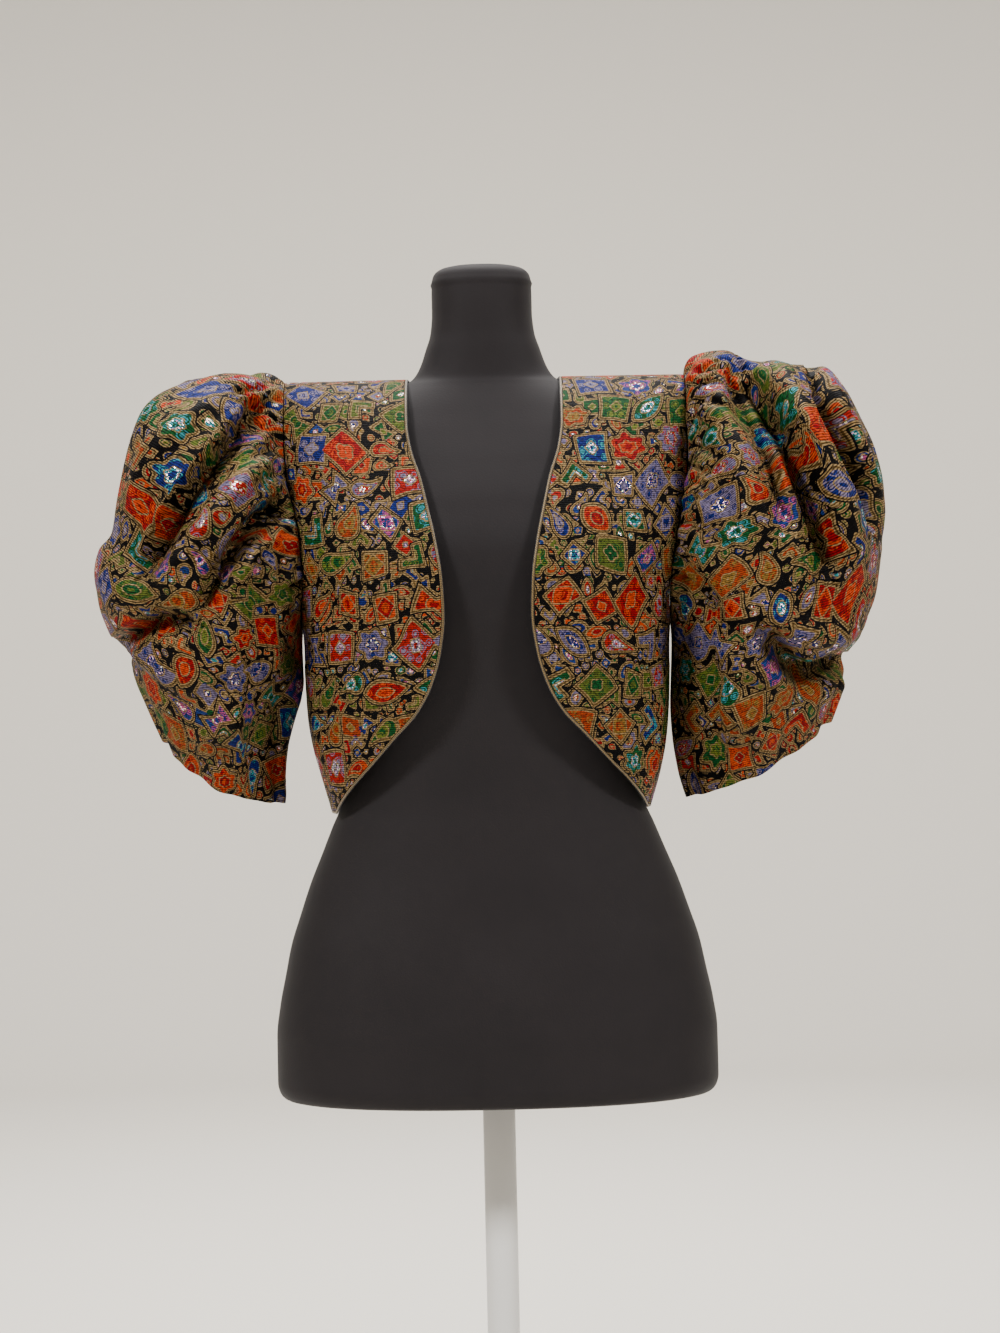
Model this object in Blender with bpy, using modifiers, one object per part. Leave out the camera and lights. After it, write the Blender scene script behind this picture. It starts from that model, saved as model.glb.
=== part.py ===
"""Bolero jacket with puffed elbow sleeves, worn by a limbless dress form on a pole stand.

Sizes are millimetres until a mesh is made. +Z is up, the form faces -Y, and the
origin is the centre of the stand's underside. Heights in the tables for the form and
the jacket are counted from the form's flat underside. "Right" and "left" are the
wearer's: the right side is at -X and the left side at +X.
"""

import bpy
import bmesh
import numpy as np

MM = 0.001

# Driving dimensions
UNDERSIDE = 800.0       # floor to the form's underside
SEAM_GAP = 0.3          # between pieces that are sewn or that rest on each other
WALL = 2.0              # brocade with its backing
SLEEVE_WALL = 1.8
PIPING_RADIUS = 1.2
SHOULDER_HEIGHT = 586.5
UNDERARM_HEIGHT = 385.0
BODY_ROUNDNESS = 2.5    # exponent of the superellipse round the jacket's body
FORM_ROUNDNESS = 2.3
SLEEVE_ROUNDNESS = 2.25

# Stand
POLE_RADIUS = 13.3
SOCKET_DEPTH = 120.0
BASE_RADIUS = 170.0
BASE_THICKNESS = 8.0
BOSS_RADIUS = 24.0
BOSS_HEIGHT = 32.0
BORE_FLOOR = 4.0
BOSS_EDGE = 2.0         # chamfer round the boss's top
BOSS_FOOT = (3.0, 4.0)  # the fillet at the boss's foot spreads this far, and starts this high
FOOT_SPREAD = 9.0
RIM = ((3.0, 0.0), (0.8, 1.2), (0.0, 3.5))   # base's rounded edge: in from its rim, down from its top
RIM_LIFT = 1.0          # chamfer under the base's edge

# Mesh fineness
ROUND_STEPS = 32        # sides of the pole and the base
SAMPLES = 2000          # points along a curve whose length is measured
SMALL_SHARE = 1e-3      # step over which a slope is taken
SHARP_ANGLE = np.radians(50)
MERGE_DISTANCE = 0.00001   # metres, for the turned base
FORM_POINTS = 32
FRONT_COLUMNS = 9
ARMHOLE_ROWS = 12       # steps of a panel from the shoulder to the underarm
SIDE_ROWS = 9           # steps below the underarm
SHOULDER_COLUMNS = 4    # of the back, from the neck out to each armhole
GATHERS = 28            # crimps round each sleeve head, two points a crimp
UNDERARM_POINTS = 8     # plain points below the crimps
CRIMP_START = 0.08      # share of the armhole that stays plain, from the underarm up
CRIMP_DEPTH = 2.8
CRIMP_PEAK = 0.05       # share of the sleeve's length at which the crimps stand highest
HEAD_GAP = 0.7          # the sleeve head's edge lies this far out from the armhole's
HEAD_SHARE = 0.10       # share of the length over which the head eases from the armhole
FOLD_FADE = 0.06        # share over which folds fade at each end
FOLD_END = 0.3          # share of a fold's depth that is left at the ends of its course
FACING_BAND = 40.0      # depth over which the front's folds give way to the back's
SIDES = ("right", "left")


def table(names, rows):
    """Each named column of a short table as an array."""
    return dict(zip(names.split(), np.array(rows, dtype=float).T))


FORM = table("height half_width front back", [
    (0.0, 168.0, 98.0, 109.0),
    (1.5, 174.0, 103.0, 115.0),
    (6.0, 178.5, 106.0, 119.0),
    (14.0, 180.4, 108.0, 121.0),
    (52.0, 180.2, 108.0, 123.0),
    (77.0, 177.1, 106.0, 122.0),
    (101.0, 172.2, 103.0, 119.0),
    (126.0, 166.9, 99.0, 114.0),
    (150.0, 159.1, 95.0, 107.0),
    (175.0, 150.5, 91.5, 99.0),
    (200.0, 140.2, 88.0, 92.5),
    (222.0, 131.2, 85.8, 85.0),
    (236.0, 125.2, 84.5, 82.0),
    (252.0, 121.8, 84.0, 84.0),
    (280.0, 120.0, 85.0, 85.0),
    (320.0, 126.0, 90.0, 90.0),
    (360.0, 135.0, 96.0, 96.0),
    (400.0, 142.0, 102.0, 100.0),
    (440.0, 145.0, 103.0, 101.0),
    (480.0, 146.0, 97.0, 97.0),
    (515.0, 146.0, 85.0, 90.0),
    (538.0, 141.0, 74.0, 81.0),
    (553.0, 125.0, 66.0, 69.0),
    (564.0, 105.0, 60.0, 59.0),
    (573.0, 86.0, 54.5, 45.5),
    (580.0, 70.0, 50.0, 41.0),
    (585.0, 59.2, 47.5, 39.5),
    (591.0, 54.2, 47.0, 40.0),
    (598.0, 50.8, 46.8, 41.0),
    (610.0, 46.7, 46.5, 41.0),
    (623.0, 42.6, 46.0, 41.0),
    (640.0, 41.0, 46.0, 41.0),
    (662.0, 41.0, 45.5, 41.0),
    (670.0, 39.5, 43.5, 39.5),
    (675.0, 34.0, 37.5, 34.5),
    (677.0, 26.0, 28.5, 26.0),
])

BUST = {"out": 70.0, "height": 425.0, "spread": 40.0, "depth": 11.0}

# The jacket's body, down the cloth from the shoulder ridge to the hem
BODY = table("height right left front back", [
    (586.5, 176.0, 176.0, 0.0, 0.0),
    (585.6, 176.0, 176.0, 14.0, 14.0),
    (583.0, 176.0, 176.0, 29.0, 29.0),
    (578.5, 176.0, 176.0, 42.0, 43.0),
    (571.0, 176.0, 176.0, 54.5, 58.0),
    (561.0, 176.0, 176.0, 66.0, 71.0),
    (545.0, 175.5, 176.0, 78.0, 81.0),
    (520.0, 173.0, 174.5, 92.0, 92.0),
    (490.0, 169.0, 171.0, 106.0, 101.0),
    (455.0, 163.5, 164.0, 119.0, 106.5),
    (420.0, 157.0, 155.0, 124.5, 108.0),
    (385.0, 152.0, 148.5, 121.5, 107.0),
    (350.0, 151.0, 147.5, 115.0, 104.0),
    (314.0, 149.5, 146.0, 108.0, 100.5),
    (289.0, 146.0, 143.5, 103.5, 98.0),
    (264.0, 139.5, 138.5, 100.0, 96.5),
    (236.0, 131.8, 130.2, 97.0, 96.0),
])

# How far out the armhole seam lies, on the front and on the back of each side
ARMHOLE = table("height right_front left_front right_back left_back", [
    (385.0, 152.0, 148.5, 152.0, 148.5),
    (400.0, 150.5, 147.0, 152.5, 149.5),
    (425.0, 148.5, 148.5, 152.5, 152.0),
    (455.0, 149.5, 153.5, 153.5, 155.5),
    (480.0, 154.0, 159.0, 156.0, 159.0),
    (511.0, 160.5, 163.0, 159.0, 162.0),
    (545.0, 162.0, 163.5, 161.0, 163.0),
    (586.5, 162.0, 163.5, 162.0, 163.5),
])

# Half the opening between the fronts, from the hem up to the shoulder
FRONT_EDGE = table("height half_opening", [
    (236.0, 127.0),
    (243.0, 123.5),
    (256.0, 114.0),
    (275.0, 96.5),
    (296.0, 77.5),
    (316.0, 59.0),
    (338.0, 47.0),
    (362.0, 40.0),
    (390.0, 36.5),
    (418.0, 37.5),
    (450.0, 42.0),
    (476.0, 47.5),
    (500.0, 53.0),
    (524.0, 60.5),
    (545.0, 63.5),
    (586.5, 64.0),
])

# The back neckline, from the centre back out to the shoulder seam
BACK_NECK = table("half_opening height", [
    (0.0, 571.0),
    (21.0, 572.2),
    (38.0, 575.8),
    (50.0, 579.6),
    (58.0, 583.2),
    (62.5, 585.6),
    (64.0, 586.5),
])

# Sleeve outline in front view from the shoulder round to the hem's outer corner
OUTLINE = {
    "right": table("out height", [
        (162.0, 586.5), (180.0, 592.5), (207.0, 595.0), (237.0, 589.0), (262.0, 580.5),
        (278.0, 567.0), (288.0, 545.0), (295.0, 520.0), (301.0, 493.0), (306.0, 466.0),
        (317.0, 452.0), (321.0, 433.0), (317.0, 408.0), (309.0, 383.0), (294.0, 367.0),
        (290.0, 350.0), (280.0, 326.0), (268.0, 299.0),
    ]),
    "left": table("out height", [
        (163.5, 586.5), (172.0, 598.0), (198.0, 604.5), (218.0, 596.0), (250.0, 592.0),
        (277.0, 590.0), (294.0, 573.0), (307.0, 548.0), (319.0, 520.0), (325.0, 490.0),
        (326.0, 461.0), (322.0, 435.0), (317.0, 403.0), (304.0, 374.0), (292.0, 354.0),
        (294.0, 342.0), (287.0, 323.0), (279.0, 303.0),
    ]),
}

# Sleeve underarm line in front view, from the underarm to the hem's inner corner
UNDERARM = {
    "right": table("out height", [
        (152.7, 385.3), (156.5, 372.0), (159.5, 343.0), (161.0, 314.0), (165.0, 290.0),
        (168.0, 262.0), (170.0, 242.0),
    ]),
    "left": table("out height", [
        (149.2, 385.3), (151.5, 372.0), (152.5, 343.0), (152.5, 314.0), (153.0, 290.0),
        (155.0, 262.0), (159.0, 240.0),
    ]),
}

# Half the sleeve's depth, front to back, along its length
PUFF = table("along front back", [
    (0.00, 54.0, 56.0),
    (0.04, 68.0, 70.0),
    (0.10, 84.0, 87.0),
    (0.20, 100.0, 103.0),
    (0.35, 108.0, 112.0),
    (0.50, 106.0, 111.0),
    (0.65, 97.0, 102.0),
    (0.78, 82.0, 88.0),
    (0.88, 64.0, 70.0),
    (1.00, 40.0, 44.0),
])

# Rows of each sleeve, as shares of its outline
SLEEVE_ROWS = (0.0, 0.022, 0.05, 0.09, 0.15, 0.22, 0.30, 0.38, 0.46, 0.54, 0.62,
               0.70, 0.78, 0.86, 0.93, 1.0)
UNDERARM_LAG = 1.35     # the underarm line's rows crowd towards the armhole
HEM_BOW = {"right": 14.0, "left": 10.0}

# Largest folds in front view: their course, half width and depth, troughs negative
FOLDS = {
    "right": (
        {"half_width": 17, "depth": 8, "out": (212, 236, 256, 271), "height": (573, 557, 534, 526)},
        {"half_width": 26, "depth": -21, "out": (182, 212, 235, 236), "height": (561, 536, 500, 460)},
        {"half_width": 20, "depth": 11, "out": (163, 200, 220, 246), "height": (519, 505, 475, 434)},
        {"half_width": 19, "depth": -12, "out": (183, 203, 220), "height": (473, 446, 417)},
        {"half_width": 18, "depth": -12, "out": (296, 268, 232), "height": (366, 379, 401)},
    ),
    "left": (
        {"half_width": 23, "depth": -19, "out": (205, 211, 232, 258), "height": (588, 556, 515, 454)},
        {"half_width": 17, "depth": 10, "out": (227, 241, 262, 273), "height": (584, 546, 492, 440)},
        {"half_width": 19, "depth": -17, "out": (264, 270, 293, 309), "height": (581, 550, 494, 450)},
        {"half_width": 17, "depth": -9, "out": (238, 256, 274), "height": (392, 385, 376)},
        {"half_width": 18, "depth": -14, "out": (230, 256, 292), "height": (362, 340, 348)},
    ),
}
OTHER = {"right": "left", "left": "right"}
SIGN = {"right": -1.0, "left": 1.0}

# Colours, roughness and metallic value
FINISHES = {
    "brocade": ((0.16, 0.09, 0.035), 0.55, 0.15),
    "piping": ((0.20, 0.13, 0.05), 0.45, 0.1),
    "form_jersey": ((0.022, 0.020, 0.024), 0.75, 0.0),
    "stand_enamel": ((0.78, 0.77, 0.75), 0.25, 0.0),
}


def clear_scene():
    """Remove every object that the file opened with."""
    for item in list(bpy.data.objects):
        bpy.data.objects.remove(item, do_unlink=True)


def make_material(name):
    """A Principled material from its row of FINISHES."""
    colour, roughness, metallic = FINISHES[name]
    material = bpy.data.materials.new(name)
    material.use_nodes = True
    shader = material.node_tree.nodes["Principled BSDF"]
    shader.inputs["Base Color"].default_value = (*colour, 1.0)
    shader.inputs["Roughness"].default_value = roughness
    shader.inputs["Metallic"].default_value = metallic
    return material


def smooth(at, known_at, known):
    """Monotone cubic through the known values, so that no row overshoots its neighbours."""
    at, known_at, known = (np.asarray(v, dtype=float) for v in (at, known_at, known))
    step = np.diff(known_at)
    slope = np.diff(known) / step
    before, after = slope[:-1], slope[1:]
    same_way = before * after > 0
    total = np.where(same_way, before + after, 1.0)
    middle = np.where(same_way, 2.0 * before * after / total, 0.0)
    tangent = np.concatenate([slope[:1], middle, slope[-1:]])
    cell = np.clip(np.searchsorted(known_at, at) - 1, 0, len(step) - 1)
    t = np.clip((at - known_at[cell]) / step[cell], 0.0, 1.0)
    rise = known[cell + 1] - known[cell]
    start, end = tangent[cell] * step[cell], tangent[cell + 1] * step[cell]
    curve = t * t * (3.0 - 2.0 * t) * rise
    return known[cell] + curve + t * (1.0 - t) ** 2 * start - t * t * (1.0 - t) * end


def smooth_path(share, columns, first, second):
    """Points at shares of the length of a path drawn through two columns of a table."""
    knots = np.arange(len(columns[first]), dtype=float)
    fine = np.linspace(0.0, knots[-1], SAMPLES)
    a, b = smooth(fine, knots, columns[first]), smooth(fine, knots, columns[second])
    length = np.concatenate([[0.0], np.cumsum(np.hypot(np.diff(a), np.diff(b)))])
    wanted = np.asarray(share) * length[-1]
    return np.interp(wanted, length, a), np.interp(wanted, length, b)


def signed_power(value, power):
    """A power that keeps the sign of its base."""
    return np.sign(value) * np.abs(value) ** power


def add_object(name, mesh, material, collection):
    """Put a finished mesh in the scene as a named object."""
    mesh.materials.append(material)
    item = bpy.data.objects.new(name, mesh)
    collection.objects.link(item)
    return item


def mesh_from(name, points, faces):
    """A mesh in metres from points in millimetres, with its faces turned outwards."""
    mesh = bpy.data.meshes.new(name)
    mesh.from_pydata((np.asarray(points) * MM).tolist(), [], faces)
    work = bmesh.new()
    work.from_mesh(mesh)
    bmesh.ops.recalc_face_normals(work, faces=work.faces)
    work.to_mesh(mesh)
    work.free()
    mesh.shade_smooth()
    return mesh


def grid_faces(rows, columns, first=0, closed=False, flip=False):
    """Quads of a grid whose points are numbered row by row from first."""
    faces = []
    for row in range(rows - 1):
        for column in range(columns if closed else columns - 1):
            following = (column + 1) % columns
            a = first + row * columns + column
            b = first + row * columns + following
            quad = (a, b, b + columns, a + columns)
            faces.append(quad[::-1] if flip else quad)
    return faces


def wall_mesh(name, outer, inner, closed=False):
    """A wall between two like grids, rimmed along each open edge."""
    rows, columns = outer.shape[:2]
    count = rows * columns
    faces = grid_faces(rows, columns, 0, closed)
    faces += grid_faces(rows, columns, count, closed, flip=True)
    index = np.arange(count).reshape(rows, columns)
    rims = [list(index[0]), list(index[-1])]
    if closed:
        rims = [rim + rim[:1] for rim in rims]
    else:
        rims += [list(index[:, 0]), list(index[:, -1])]
    for rim in rims:
        for a, b in zip(rim[:-1], rim[1:]):
            faces.append((int(a), int(b), int(b) + count, int(a) + count))
    points = np.concatenate([outer.reshape(-1, 3), inner.reshape(-1, 3)])
    return mesh_from(name, points, faces)


def form_rings():
    """The form's sections from its underside up, each a superellipse round the axis."""
    angle = np.linspace(0.0, 2.0 * np.pi, FORM_POINTS, endpoint=False)
    along = signed_power(np.cos(angle), 2.0 / FORM_ROUNDNESS)
    across = signed_power(np.sin(angle), 2.0 / FORM_ROUNDNESS)
    rings = []
    for height, half_width, front, back in zip(*FORM.values()):
        x = half_width * along
        y = np.where(across < 0.0, front, back) * across
        lift = (height - BUST["height"]) ** 2
        mound = sum(np.exp(-((x - side * BUST["out"]) ** 2 + lift) / (2.0 * BUST["spread"] ** 2))
                    for side in (-1.0, 1.0))
        y = y - np.where(across < 0.0, BUST["depth"] * mound * np.abs(across), 0.0)
        rings.append(np.stack([x, y, np.full_like(x, UNDERSIDE + height)], axis=1))
    return angle, rings


def build_form(material, collection):
    """The torso: one loft from the pole socket's end, out under the base and up to the neck."""
    angle, rings = form_rings()
    bore = POLE_RADIUS + SEAM_GAP
    circle = np.stack([bore * np.cos(angle), bore * np.sin(angle)], axis=1)
    mouth = np.column_stack([circle, np.full(FORM_POINTS, UNDERSIDE)])
    end = np.column_stack([circle, np.full(FORM_POINTS, UNDERSIDE + SOCKET_DEPTH)])
    loft = [end, mouth] + rings
    faces = grid_faces(len(loft), FORM_POINTS, 0, closed=True)
    faces.append(tuple(range(FORM_POINTS)))
    last = (len(loft) - 1) * FORM_POINTS
    faces.append(tuple(range(last, last + FORM_POINTS)))
    mesh = mesh_from("form_torso", np.concatenate(loft), faces)
    mesh.set_sharp_from_angle(angle=SHARP_ANGLE)
    return add_object("form_torso", mesh, material, collection)


def cloth_down():
    """Distance down the cloth to each row of BODY, as a share of the whole."""
    step = np.hypot(np.diff(BODY["height"]), np.diff(BODY["front"]))
    down = np.concatenate([[0.0], np.cumsum(step)])
    return down / down[-1]


def section(down, side):
    """Height and half width of the jacket's body at shares down the cloth."""
    known = cloth_down()
    return smooth(down, known, BODY["height"]), smooth(down, known, BODY[side])


def seam_angle(height, half_width, side, face):
    """The section's angle at its armhole seam, and a right angle below the underarm."""
    seam = smooth(height, ARMHOLE["height"], ARMHOLE[f"{side}_{face}"])
    reach = np.clip(seam / half_width, 0.0, 1.0) ** (BODY_ROUNDNESS / 2.0)
    return np.where(height > UNDERARM_HEIGHT, np.arcsin(reach), np.pi / 2.0)


def body_point(down, across, side, face):
    """A point of the jacket's body.

    down is the share of the way from the shoulder ridge to the hem, and across the
    share of the way from the centre plane to the armhole seam or the side seam. The
    section there is a superellipse of that row's half width and depth.
    """
    height, half_width = section(down, side)
    depth = smooth(down, cloth_down(), BODY[face])
    angle = across * seam_angle(height, half_width, side, face)
    x = SIGN[side] * half_width * np.sin(angle) ** (2.0 / BODY_ROUNDNESS)
    out = -1.0 if face == "front" else 1.0
    y = out * depth * np.cos(angle) ** (2.0 / BODY_ROUNDNESS)
    return np.stack([x, y, UNDERSIDE + height], axis=-1)


def share_at_width(down, width, side, face):
    """The share across at which the body is a given width out from the centre plane."""
    height, half_width = section(down, side)
    edge = np.clip(width / half_width, 0.0, 1.0) ** (BODY_ROUNDNESS / 2.0)
    return np.arcsin(edge) / seam_angle(height, half_width, side, face)


def offset_inward(outer, thickness, closed=False):
    """Points a wall's thickness inside a grid, square to the surface at each point."""
    if closed:
        wrapped = np.concatenate([outer[:, -1:], outer, outer[:, :1]], axis=1)
        across = wrapped[:, 2:] - wrapped[:, :-2]
    else:
        across = np.gradient(outer, axis=1)
    normal = np.cross(np.gradient(outer, axis=0), across)
    normal /= np.maximum(np.linalg.norm(normal, axis=-1, keepdims=True), 1e-9)
    return outer - thickness * normal


def body_wall(down, across, side, face):
    """The outer and inner points of a body panel, set half a seam gap off the seams."""
    outer = body_point(down, across, side, face)
    inward = np.minimum(down + SMALL_SHARE, 1.0)
    outward = np.maximum(down - SMALL_SHARE, 0.0)
    along = body_point(inward, across, side, face) - body_point(outward, across, side, face)
    upper = np.minimum(across + SMALL_SHARE, 1.0)
    lower = np.maximum(across - SMALL_SHARE, 0.0)
    round_body = body_point(down, upper, side, face) - body_point(down, lower, side, face)
    turn = SIGN[side] * (-1.0 if face == "front" else 1.0)
    normal = turn * np.cross(round_body, along)
    ridge = down <= SMALL_SHARE
    normal[ridge] = (0.0, 0.0, 1.0)
    normal /= np.maximum(np.linalg.norm(normal, axis=-1, keepdims=True), 1e-9)
    inner = outer - WALL * normal
    apart = np.array([0.0, (-0.5 if face == "front" else 0.5) * SEAM_GAP, 0.0])
    return outer + apart, inner + apart


def underarm_share():
    """The share of the way down the cloth at which the armhole ends."""
    fine = np.linspace(0.0, 1.0, SAMPLES)
    heights = smooth(fine, cloth_down(), BODY["height"])
    return float(np.interp(-UNDERARM_HEIGHT, -heights, fine))


def row_shares(upper, lower):
    """Shares down a panel, closer together near the shoulder, with one at the underarm."""
    middle = underarm_share()
    above = middle * np.linspace(0.0, 1.0, upper + 1) ** 1.3
    below = np.linspace(middle, 1.0, lower + 1)
    return np.concatenate([above, below[1:]])


def front_grid(steps, columns, side):
    """Shares down and across for a front, from its curved edge to the armhole and side."""
    down = row_shares(*steps)
    height = section(down, side)[0]
    opening = smooth(height, FRONT_EDGE["height"], FRONT_EDGE["half_opening"])
    edge = share_at_width(down, opening, side, "front")
    step = np.linspace(0.0, 1.0, columns)
    across = edge[:, None] + (1.0 - edge[:, None]) * step[None, :]
    return np.repeat(down[:, None], columns, axis=1), across


def back_grid(steps, shoulder_columns, side):
    """Shares down and across for half a back, from the centre to the armhole and side."""
    neck, seam = BACK_NECK["half_opening"], ARMHOLE[f"{side}_back"][-1]
    out = np.concatenate([neck, np.linspace(neck[-1], seam, shoulder_columns + 1)[1:]])
    step = share_at_width(0.0, out, side, "back")
    start_height = np.where(out < neck[-1], smooth(out, neck, BACK_NECK["height"]), SHOULDER_HEIGHT)
    fine = np.linspace(0.0, 1.0, SAMPLES)
    start = np.interp(-start_height, -section(fine, side)[0], fine)
    share = row_shares(*steps)
    down = start[None, :] + (1.0 - start[None, :]) * share[:, None]
    return down, np.repeat(step[None, :], len(share), axis=0)


def build_front(side, material, collection):
    """One front: a single panel with a cutaway edge from the neck to the side."""
    down, across = front_grid((ARMHOLE_ROWS, SIDE_ROWS), FRONT_COLUMNS, side)
    outer, inner = body_wall(down, across, side, "front")
    name = f"{side}_front"
    return add_object(name, wall_mesh(name, outer, inner), material, collection)


def back_wall_grids():
    """The back's outer and inner points from the right side seam to the left one."""
    steps = (ARMHOLE_ROWS, SIDE_ROWS)
    grids = {side: body_wall(*back_grid(steps, SHOULDER_COLUMNS, side), side, "back")
             for side in SIDES}
    joined = []
    for layer in (0, 1):
        right = grids["right"][layer][:, :0:-1]
        joined.append(np.concatenate([right, grids["left"][layer]], axis=1))
    return joined


def build_back(material, collection):
    """The back in one piece."""
    outer, inner = back_wall_grids()
    return add_object("back", wall_mesh("back", outer, inner), material, collection)


def armhole_loop(side, share):
    """Points round the armhole, from the underarm up the front and down the back."""
    down = row_shares(ARMHOLE_ROWS, SIDE_ROWS)[:ARMHOLE_ROWS + 1]
    front = body_point(down[::-1], np.ones_like(down), side, "front")
    back = body_point(down, np.ones_like(down), side, "back")
    loop = np.concatenate([front, back[1:]])
    length = np.concatenate([[0.0], np.cumsum(np.linalg.norm(np.diff(loop, axis=0), axis=1))])
    wanted = np.asarray(share) * length[-1]
    return np.stack([np.interp(wanted, length, loop[:, axis]) for axis in range(3)], axis=-1)


def crimp_shares():
    """Shares round the armhole: two points a crimp, and a few plain ones underarm."""
    crimped = np.linspace(CRIMP_START, 1.0 - CRIMP_START, 2 * GATHERS + 1)
    plain = np.linspace(0.0, CRIMP_START, UNDERARM_POINTS // 2 + 1)
    return np.concatenate([plain[:-1], crimped, 1.0 - plain[-2:0:-1]])


def fold_lift(out, height, folds):
    """Height of the folds at points in front view: a soft ridge or trough round each course."""
    lift = np.zeros_like(out)
    for fold in folds:
        path = np.stack([np.array(fold["out"], float), np.array(fold["height"], float)], axis=-1)
        nearest = np.full(out.shape, np.inf)
        place = np.zeros_like(out)
        segments = len(path) - 1
        for number, (a, b) in enumerate(zip(path[:-1], path[1:])):
            run = b - a
            t = ((out - a[0]) * run[0] + (height - a[1]) * run[1]) / (run @ run)
            t = np.clip(t, 0.0, 1.0)
            distance = np.hypot(out - a[0] - t * run[0], height - a[1] - t * run[1])
            closer = distance < nearest
            nearest = np.where(closer, distance, nearest)
            place = np.where(closer, (number + t) / segments, place)
        profile = np.clip(1.0 - (nearest / fold["half_width"]) ** 2, 0.0, 1.0) ** 2
        arch = np.sqrt(np.clip(4.0 * place * (1.0 - place), 0.0, 1.0))
        taper = FOLD_END + (1.0 - FOLD_END) * arch
        lift += fold["depth"] * profile * taper
    return lift


def puffed_rings(side, along, share):
    """The sleeve's rings, before the first ones are fitted to the armhole.

    Each ring's width is a chord from the underarm line to the outline, and its depth
    comes from PUFF, on a superellipse. Towards the hem the chord bows out and down.
    """
    outer_out, outer_height = smooth_path(along, OUTLINE[side], "out", "height")
    lag = along ** UNDERARM_LAG
    inner_out, inner_height = smooth_path(lag, UNDERARM[side], "out", "height")
    angle = 2.0 * np.pi * share
    power = 2.0 / SLEEVE_ROUNDNESS
    chord = (1.0 - signed_power(np.cos(angle), power)) / 2.0
    depth = signed_power(np.sin(angle), power)
    run_out, run_height = outer_out - inner_out, outer_height - inner_height
    bow = HEM_BOW[side] * along ** 6 / np.hypot(run_out, run_height)
    arch = 4.0 * chord * (1.0 - chord)
    out = np.outer(run_out, chord) + np.outer(bow * run_height, arch) + inner_out[:, None]
    height = np.outer(run_height, chord) - np.outer(bow * run_out, arch) + inner_height[:, None]
    front = smooth(along, PUFF["along"], PUFF["front"])
    back = smooth(along, PUFF["along"], PUFF["back"])
    y = -np.where(depth > 0.0, front[:, None], back[:, None]) * depth
    return np.stack([SIGN[side] * out, y, UNDERSIDE + height], axis=-1)


def sleeve_base(side, along, share):
    """The sleeve's rings, eased from the armhole's own loop over the sleeve head."""
    rings = puffed_rings(side, along, share)
    first = puffed_rings(side, np.zeros(1), share)
    loop = armhole_loop(side, share) + np.array([SIGN[side] * HEAD_GAP, 0.0, 0.0])
    ease = np.clip(along / HEAD_SHARE, 0.0, 1.0)
    ease = ease * ease * (3.0 - 2.0 * ease)
    return rings + (1.0 - ease)[:, None, None] * (loop - first)


def sleeve_surface(side, along, share):
    """The sleeve's outer surface: folds and crimps lift it square to its rings."""
    base = sleeve_base(side, along, share)
    outward = SIGN[side] * (base - offset_inward(base, 1.0, closed=True))
    out, height = SIGN[side] * base[..., 0], base[..., 2] - UNDERSIDE
    facing = np.clip(0.5 - base[..., 1] / FACING_BAND, 0.0, 1.0)
    facing = facing * facing * (3.0 - 2.0 * facing)
    lift = facing * fold_lift(out, height, FOLDS[side])
    lift += (1.0 - facing) * fold_lift(out, height, FOLDS[OTHER[side]])
    run = along[:, None]
    lift *= np.clip(run / FOLD_FADE, 0.0, 1.0) * np.clip((1.0 - run) / FOLD_FADE, 0.0, 1.0)
    crimped = (share >= CRIMP_START) & (share <= 1.0 - CRIMP_START)
    turn = (share - CRIMP_START) / (1.0 - 2.0 * CRIMP_START) * GATHERS * 2.0 * np.pi
    reach = run / CRIMP_PEAK * np.exp(1.0 - run / CRIMP_PEAK)
    crimp = CRIMP_DEPTH * reach * np.where(crimped, np.cos(turn), 0.0)
    return base + outward * (lift + crimp)[..., None]


def build_sleeve(side, material, collection):
    """A sleeve in one piece, sewn along the underarm and gathered into the armhole."""
    outer = sleeve_surface(side, np.array(SLEEVE_ROWS), crimp_shares())
    inner = offset_inward(outer, SIGN[side] * SLEEVE_WALL, closed=True)
    name = f"{side}_sleeve"
    mesh = wall_mesh(name, outer, inner, closed=True)
    return add_object(name, mesh, material, collection)


def build_tube(name, points, material, collection):
    """A piping: a cord of round section along a line of points."""
    curve = bpy.data.curves.new(name, "CURVE")
    curve.dimensions = "3D"
    curve.bevel_depth = PIPING_RADIUS * MM
    curve.bevel_resolution = 1
    curve.use_fill_caps = True
    line = curve.splines.new("POLY")
    line.points.add(len(points) - 1)
    flat = np.column_stack([np.asarray(points) * MM, np.ones(len(points))])
    line.points.foreach_set("co", flat.ravel())
    curve.materials.append(material)
    item = bpy.data.objects.new(name, curve)
    collection.objects.link(item)
    return item


def beside(edge, within):
    """Points beside a panel's edge in the wall's middle, clear of it by the seam gap.

    edge and within are the mid-wall points of the edge and of the next row inside it.
    """
    along = np.gradient(edge, axis=0)
    along /= np.linalg.norm(along, axis=-1, keepdims=True)
    away = edge - within
    away -= (away * along).sum(axis=-1, keepdims=True) * along
    away /= np.linalg.norm(away, axis=-1, keepdims=True)
    return edge + away * (SEAM_GAP + PIPING_RADIUS)


def trimmed(line):
    """A line with its two ends drawn back by the seam gap."""
    line = np.array(line)
    for end, following in ((0, 1), (-1, -2)):
        run = line[following] - line[end]
        line[end] += run * SEAM_GAP / np.linalg.norm(run)
    return line


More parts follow.
